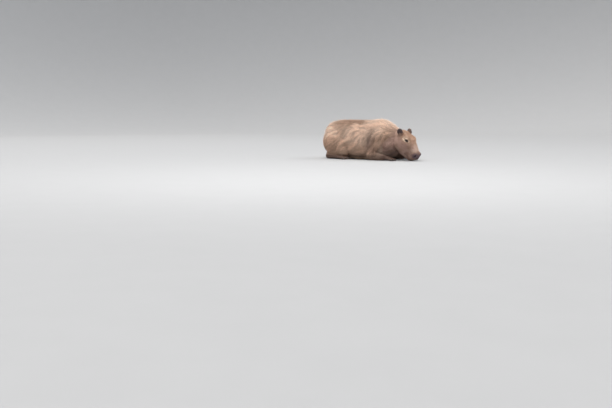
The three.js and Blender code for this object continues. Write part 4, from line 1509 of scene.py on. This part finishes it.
def grain_node(tree, place, scale, detail=3.0):
    """Noise about 0."""
    return math_node(tree, "SUBTRACT", noise_node(tree, place, scale, detail), 0.5)


def range_node(tree, value, kind, **limits):
    node = tree.nodes.new("ShaderNodeMapRange")
    node.interpolation_type = kind
    for label, limit in limits.items():
        node.inputs[label.replace("_", " ")].default_value = limit
    tree.links.new(value, node.inputs["Value"])
    return node.outputs[0]


def bump_node(tree, height, strength, depth, under=None):
    node = tree.nodes.new("ShaderNodeBump")
    node.inputs["Strength"].default_value = strength
    node.inputs["Distance"].default_value = depth
    tree.links.new(height, node.inputs["Height"])
    if under is not None:
        tree.links.new(under, node.inputs["Normal"])
    return node.outputs[0]


def coat_material(name, root_shade, tip_shade, tone_strength):
    material, tree, shader = new_material(name, Roughness=0.62, Specular_IOR_Level=0.32, IOR=1.5)
    along = attribute_node(tree, "along", "Fac")
    depth = range_node(tree, along, "SMOOTHSTEP", From_Max=0.75, To_Min=root_shade, To_Max=tip_shade)
    toned = math_node(tree, "MULTIPLY", attribute_node(tree, "tone", "Fac"), tone_strength)
    grain = grain_node(tree, object_place(tree), 900.0)
    shade = math_node(tree, "ADD", math_node(tree, "ADD", depth, toned), grain)
    colour = shaded_colour(tree, attribute_node(tree, "markings", "Color"), shade)
    tree.links.new(colour, shader.inputs["Base Color"])
    return material


def skin_material():
    """Dull hide with fine pores and wider wrinkles."""
    material, tree, shader = new_material("skin", Roughness=0.58, Specular_IOR_Level=0.35)
    place = object_place(tree)
    mottle = grain_node(tree, place, 150.0, detail=5.0)
    pores = tree.nodes.new("ShaderNodeTexVoronoi")
    pores.inputs["Scale"].default_value = 700.0
    tree.links.new(place, pores.inputs["Vector"])
    shade = math_node(tree, "MULTIPLY", mottle, 1.6)
    shade = math_node(tree, "ADD", shade, math_node(tree, "MULTIPLY", pores.outputs["Distance"], 0.35))
    colour = shaded_colour(tree, attribute_node(tree, "markings", "Color"), shade)
    tree.links.new(colour, shader.inputs["Base Color"])
    wrinkled = bump_node(tree, mottle, 0.6, 0.003)
    pored = bump_node(tree, pores.outputs["Distance"], 0.5, 0.0011, wrinkled)
    tree.links.new(pored, shader.inputs["Normal"])
    return material


# From the pupil's middle outwards: place, as a share of IRIS_EDGE degrees off the eye's axis, and colour
IRIS_EDGE = 60.0
IRIS = [
    (0.0, (0.001, 0.001, 0.001)),
    (0.34, (0.002, 0.001, 0.001)),
    (0.42, (0.018, 0.009, 0.005)),
    (0.62, (0.036, 0.017, 0.009)),
    (0.72, (0.008, 0.005, 0.004)),
    (1.0, (0.04, 0.028, 0.024)),
]


def eye_material():
    material, tree, shader = new_material("eye", Roughness=0.04, Specular_IOR_Level=0.42)
    ramp = tree.nodes.new("ShaderNodeValToRGB")
    elements = ramp.color_ramp.elements
    while len(elements) < len(IRIS):
        elements.new(0.5)
    for element, (position, colour) in zip(elements, IRIS):
        element.position = position
        element.color = (*colour, 1)
    off = math_node(tree, "DIVIDE", attribute_node(tree, "off_axis", "Fac"), IRIS_EDGE)
    tree.links.new(off, ramp.inputs["Fac"])
    flecks = grain_node(tree, object_place(tree), 1400.0)
    tree.links.new(shaded_colour(tree, ramp.outputs["Color"], flecks), shader.inputs["Base Color"])
    return material


def nail_material():
    """Dark horn, grained lengthways and worn paler towards the tip."""
    material, tree, shader = new_material("nail", Roughness=0.5, Specular_IOR_Level=0.4)
    stretched = tree.nodes.new("ShaderNodeMapping")
    stretched.inputs["Scale"].default_value = (0.1, 1, 1)
    tree.links.new(object_place(tree), stretched.inputs["Vector"])
    grain = grain_node(tree, stretched.outputs[0], 620.0, detail=5.0)
    blotch = grain_node(tree, object_place(tree), 160.0)
    along = attribute_node(tree, "along", "Fac")
    worn = range_node(tree, along, "SMOOTHSTEP", From_Min=0.35, To_Min=-0.5, To_Max=1.1)
    shade = math_node(tree, "ADD", math_node(tree, "MULTIPLY", grain, 3.2), blotch)
    shade = math_node(tree, "ADD", shade, worn)
    tree.links.new(shaded_colour(tree, (*HORN, 1), shade), shader.inputs["Base Color"])
    tree.links.new(bump_node(tree, grain, 0.7, 0.0022), shader.inputs["Normal"])
    return material


def whisker_material():
    material, tree, shader = new_material("whisker", Roughness=0.4)
    shade = grain_node(tree, object_place(tree), 300.0)
    tree.links.new(shaded_colour(tree, (*BRISTLE, 1), shade), shader.inputs["Base Color"])
    return material


def dress(obj, material):
    obj.data.materials.clear()
    obj.data.materials.append(material)
    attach(obj, "root")


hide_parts(*[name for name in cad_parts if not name.startswith("eye") and "nail" not in name])
dress(skin, skin_material())
finishes = [
    (under_coat, coat_material("under coat", -0.9, 0.2, 0.34)),
    (guard_coat, coat_material("guard hair", -0.6, 0.5, 0.38)),
    (head_coat + leg_coat, coat_material("short hair", -0.32, 0.27, 0.3)),
]
for some, material in finishes:
    for coat in some:
        dress(coat, material)
dress(whiskers, whisker_material())
eye_gloss = eye_material()
for eye in eyes.values():
    dress(eye, eye_gloss)
horn = nail_material()
for nail in nails:
    dress(nail, horn)


# Studio, in metres
FLOOR_RADIUS = 9
SWEEP_RADIUS = 4
SWEEP_TOP = 7
SWEEP_STEPS = 16
FLOOR_GREYS = (0.42, 0.44)


def add_floor():
    """A round floor whose rim sweeps up all the way round."""
    bpy.ops.mesh.primitive_circle_add(vertices=128, radius=FLOOR_RADIUS, fill_type="TRIFAN")
    floor = bpy.context.object
    floor.name = "floor"
    only(floor)
    bpy.ops.object.mode_set(mode="EDIT")
    bpy.ops.mesh.select_all(action="SELECT")
    bpy.ops.mesh.region_to_loop()
    reach, level = FLOOR_RADIUS, 0
    for i in range(1, SWEEP_STEPS + 1):
        turn = math.pi / 2 * i / SWEEP_STEPS
        out = FLOOR_RADIUS + SWEEP_RADIUS * math.sin(turn)
        up = SWEEP_RADIUS * (1 - math.cos(turn))
        bpy.ops.mesh.extrude_edges_move(TRANSFORM_OT_translate={"value": (0, 0, up - level)})
        bpy.ops.transform.resize(value=(out / reach, out / reach, 1), center_override=(0, 0, up))
        reach, level = out, up
    bpy.ops.mesh.extrude_edges_move(TRANSFORM_OT_translate={"value": (0, 0, SWEEP_TOP - level)})
    bpy.ops.object.mode_set(mode="OBJECT")
    bpy.ops.object.shade_smooth()
    material, tree, shader = new_material("floor", Roughness=0.85)
    grain = noise_node(tree, object_place(tree), 6.0)
    grey = range_node(tree, grain, "LINEAR", To_Min=FLOOR_GREYS[0], To_Max=FLOOR_GREYS[1])
    tree.links.new(grey, shader.inputs["Base Color"])
    floor.data.materials.append(material)


def add_light(name, kind, place, aim, **settings):
    data = bpy.data.lights.new(name, kind)
    for label, value in settings.items():
        setattr(data, label, value)
    light = bpy.data.objects.new(name, data)
    bpy.context.scene.collection.objects.link(light)
    light.location = place
    light.rotation_euler = (Vector(aim) - light.location).to_track_quat("-Z", "Y").to_euler()


def add_world(colour, strength):
    world = bpy.data.worlds.new("studio")
    world.use_nodes = True
    background = world.node_tree.nodes["Background"]
    background.inputs["Color"].default_value = (*colour, 1)
    background.inputs["Strength"].default_value = strength
    bpy.context.scene.world = world


add_floor()
add_world((0.92, 0.95, 1.0), 0.95)
SUNLIGHT = {"energy": 2.05, "angle": math.radians(45), "color": (1, 0.97, 0.93)}
add_light("overhead", "SUN", (-0.7, -0.3, 3), (0, 0, 0), **SUNLIGHT)
add_light("softbox", "AREA", (1.7, -2.6, 2.4), (0.3, 0, 0.1), energy=36, size=1.3, shape="DISK")
add_light("rim", "SUN", (1.6, 3.0, 1.7), (0, 0, 0), energy=1.4, angle=math.radians(30))
bpy.context.scene.view_settings.view_transform = "Standard"


# Camera, at the photograph's viewing angle. The lens and the level horizon's row are assumed.
FOCAL_MM = 50
SENSOR_MM = 36
FRAME_SIZE = (612, 408)
AIM = Vector((0.336, 0, 0))
AIM_PIXEL = (405, 160.5)
HORIZON_PIXEL = 115
ANIMAL_YAW = 36
DISTANCE = 7.08


def add_camera():
    pixels = FOCAL_MM / SENSOR_MM * FRAME_SIZE[0]
    pitch = math.atan((FRAME_SIZE[1] / 2 - HORIZON_PIXEL) / pixels)
    right = (AIM_PIXEL[0] - FRAME_SIZE[0] / 2) / pixels
    down = (AIM_PIXEL[1] - FRAME_SIZE[1] / 2) / pixels
    yaw = math.radians(ANIMAL_YAW) + math.atan(right / math.cos(pitch))
    turn = Matrix.Rotation(yaw, 3, "Z") @ Matrix.Rotation(math.pi / 2 - pitch, 3, "X")
    ray = (turn @ Vector((right, -down, -1))).normalized()
    data = bpy.data.cameras.new("camera")
    data.lens = FOCAL_MM
    data.sensor_width = SENSOR_MM
    data.clip_end = 100
    camera = bpy.data.objects.new("camera", data)
    bpy.context.scene.collection.objects.link(camera)
    camera.matrix_world = Matrix.Translation(AIM - DISTANCE * ray) @ turn.to_4x4()
    bpy.context.scene.camera = camera


add_camera()
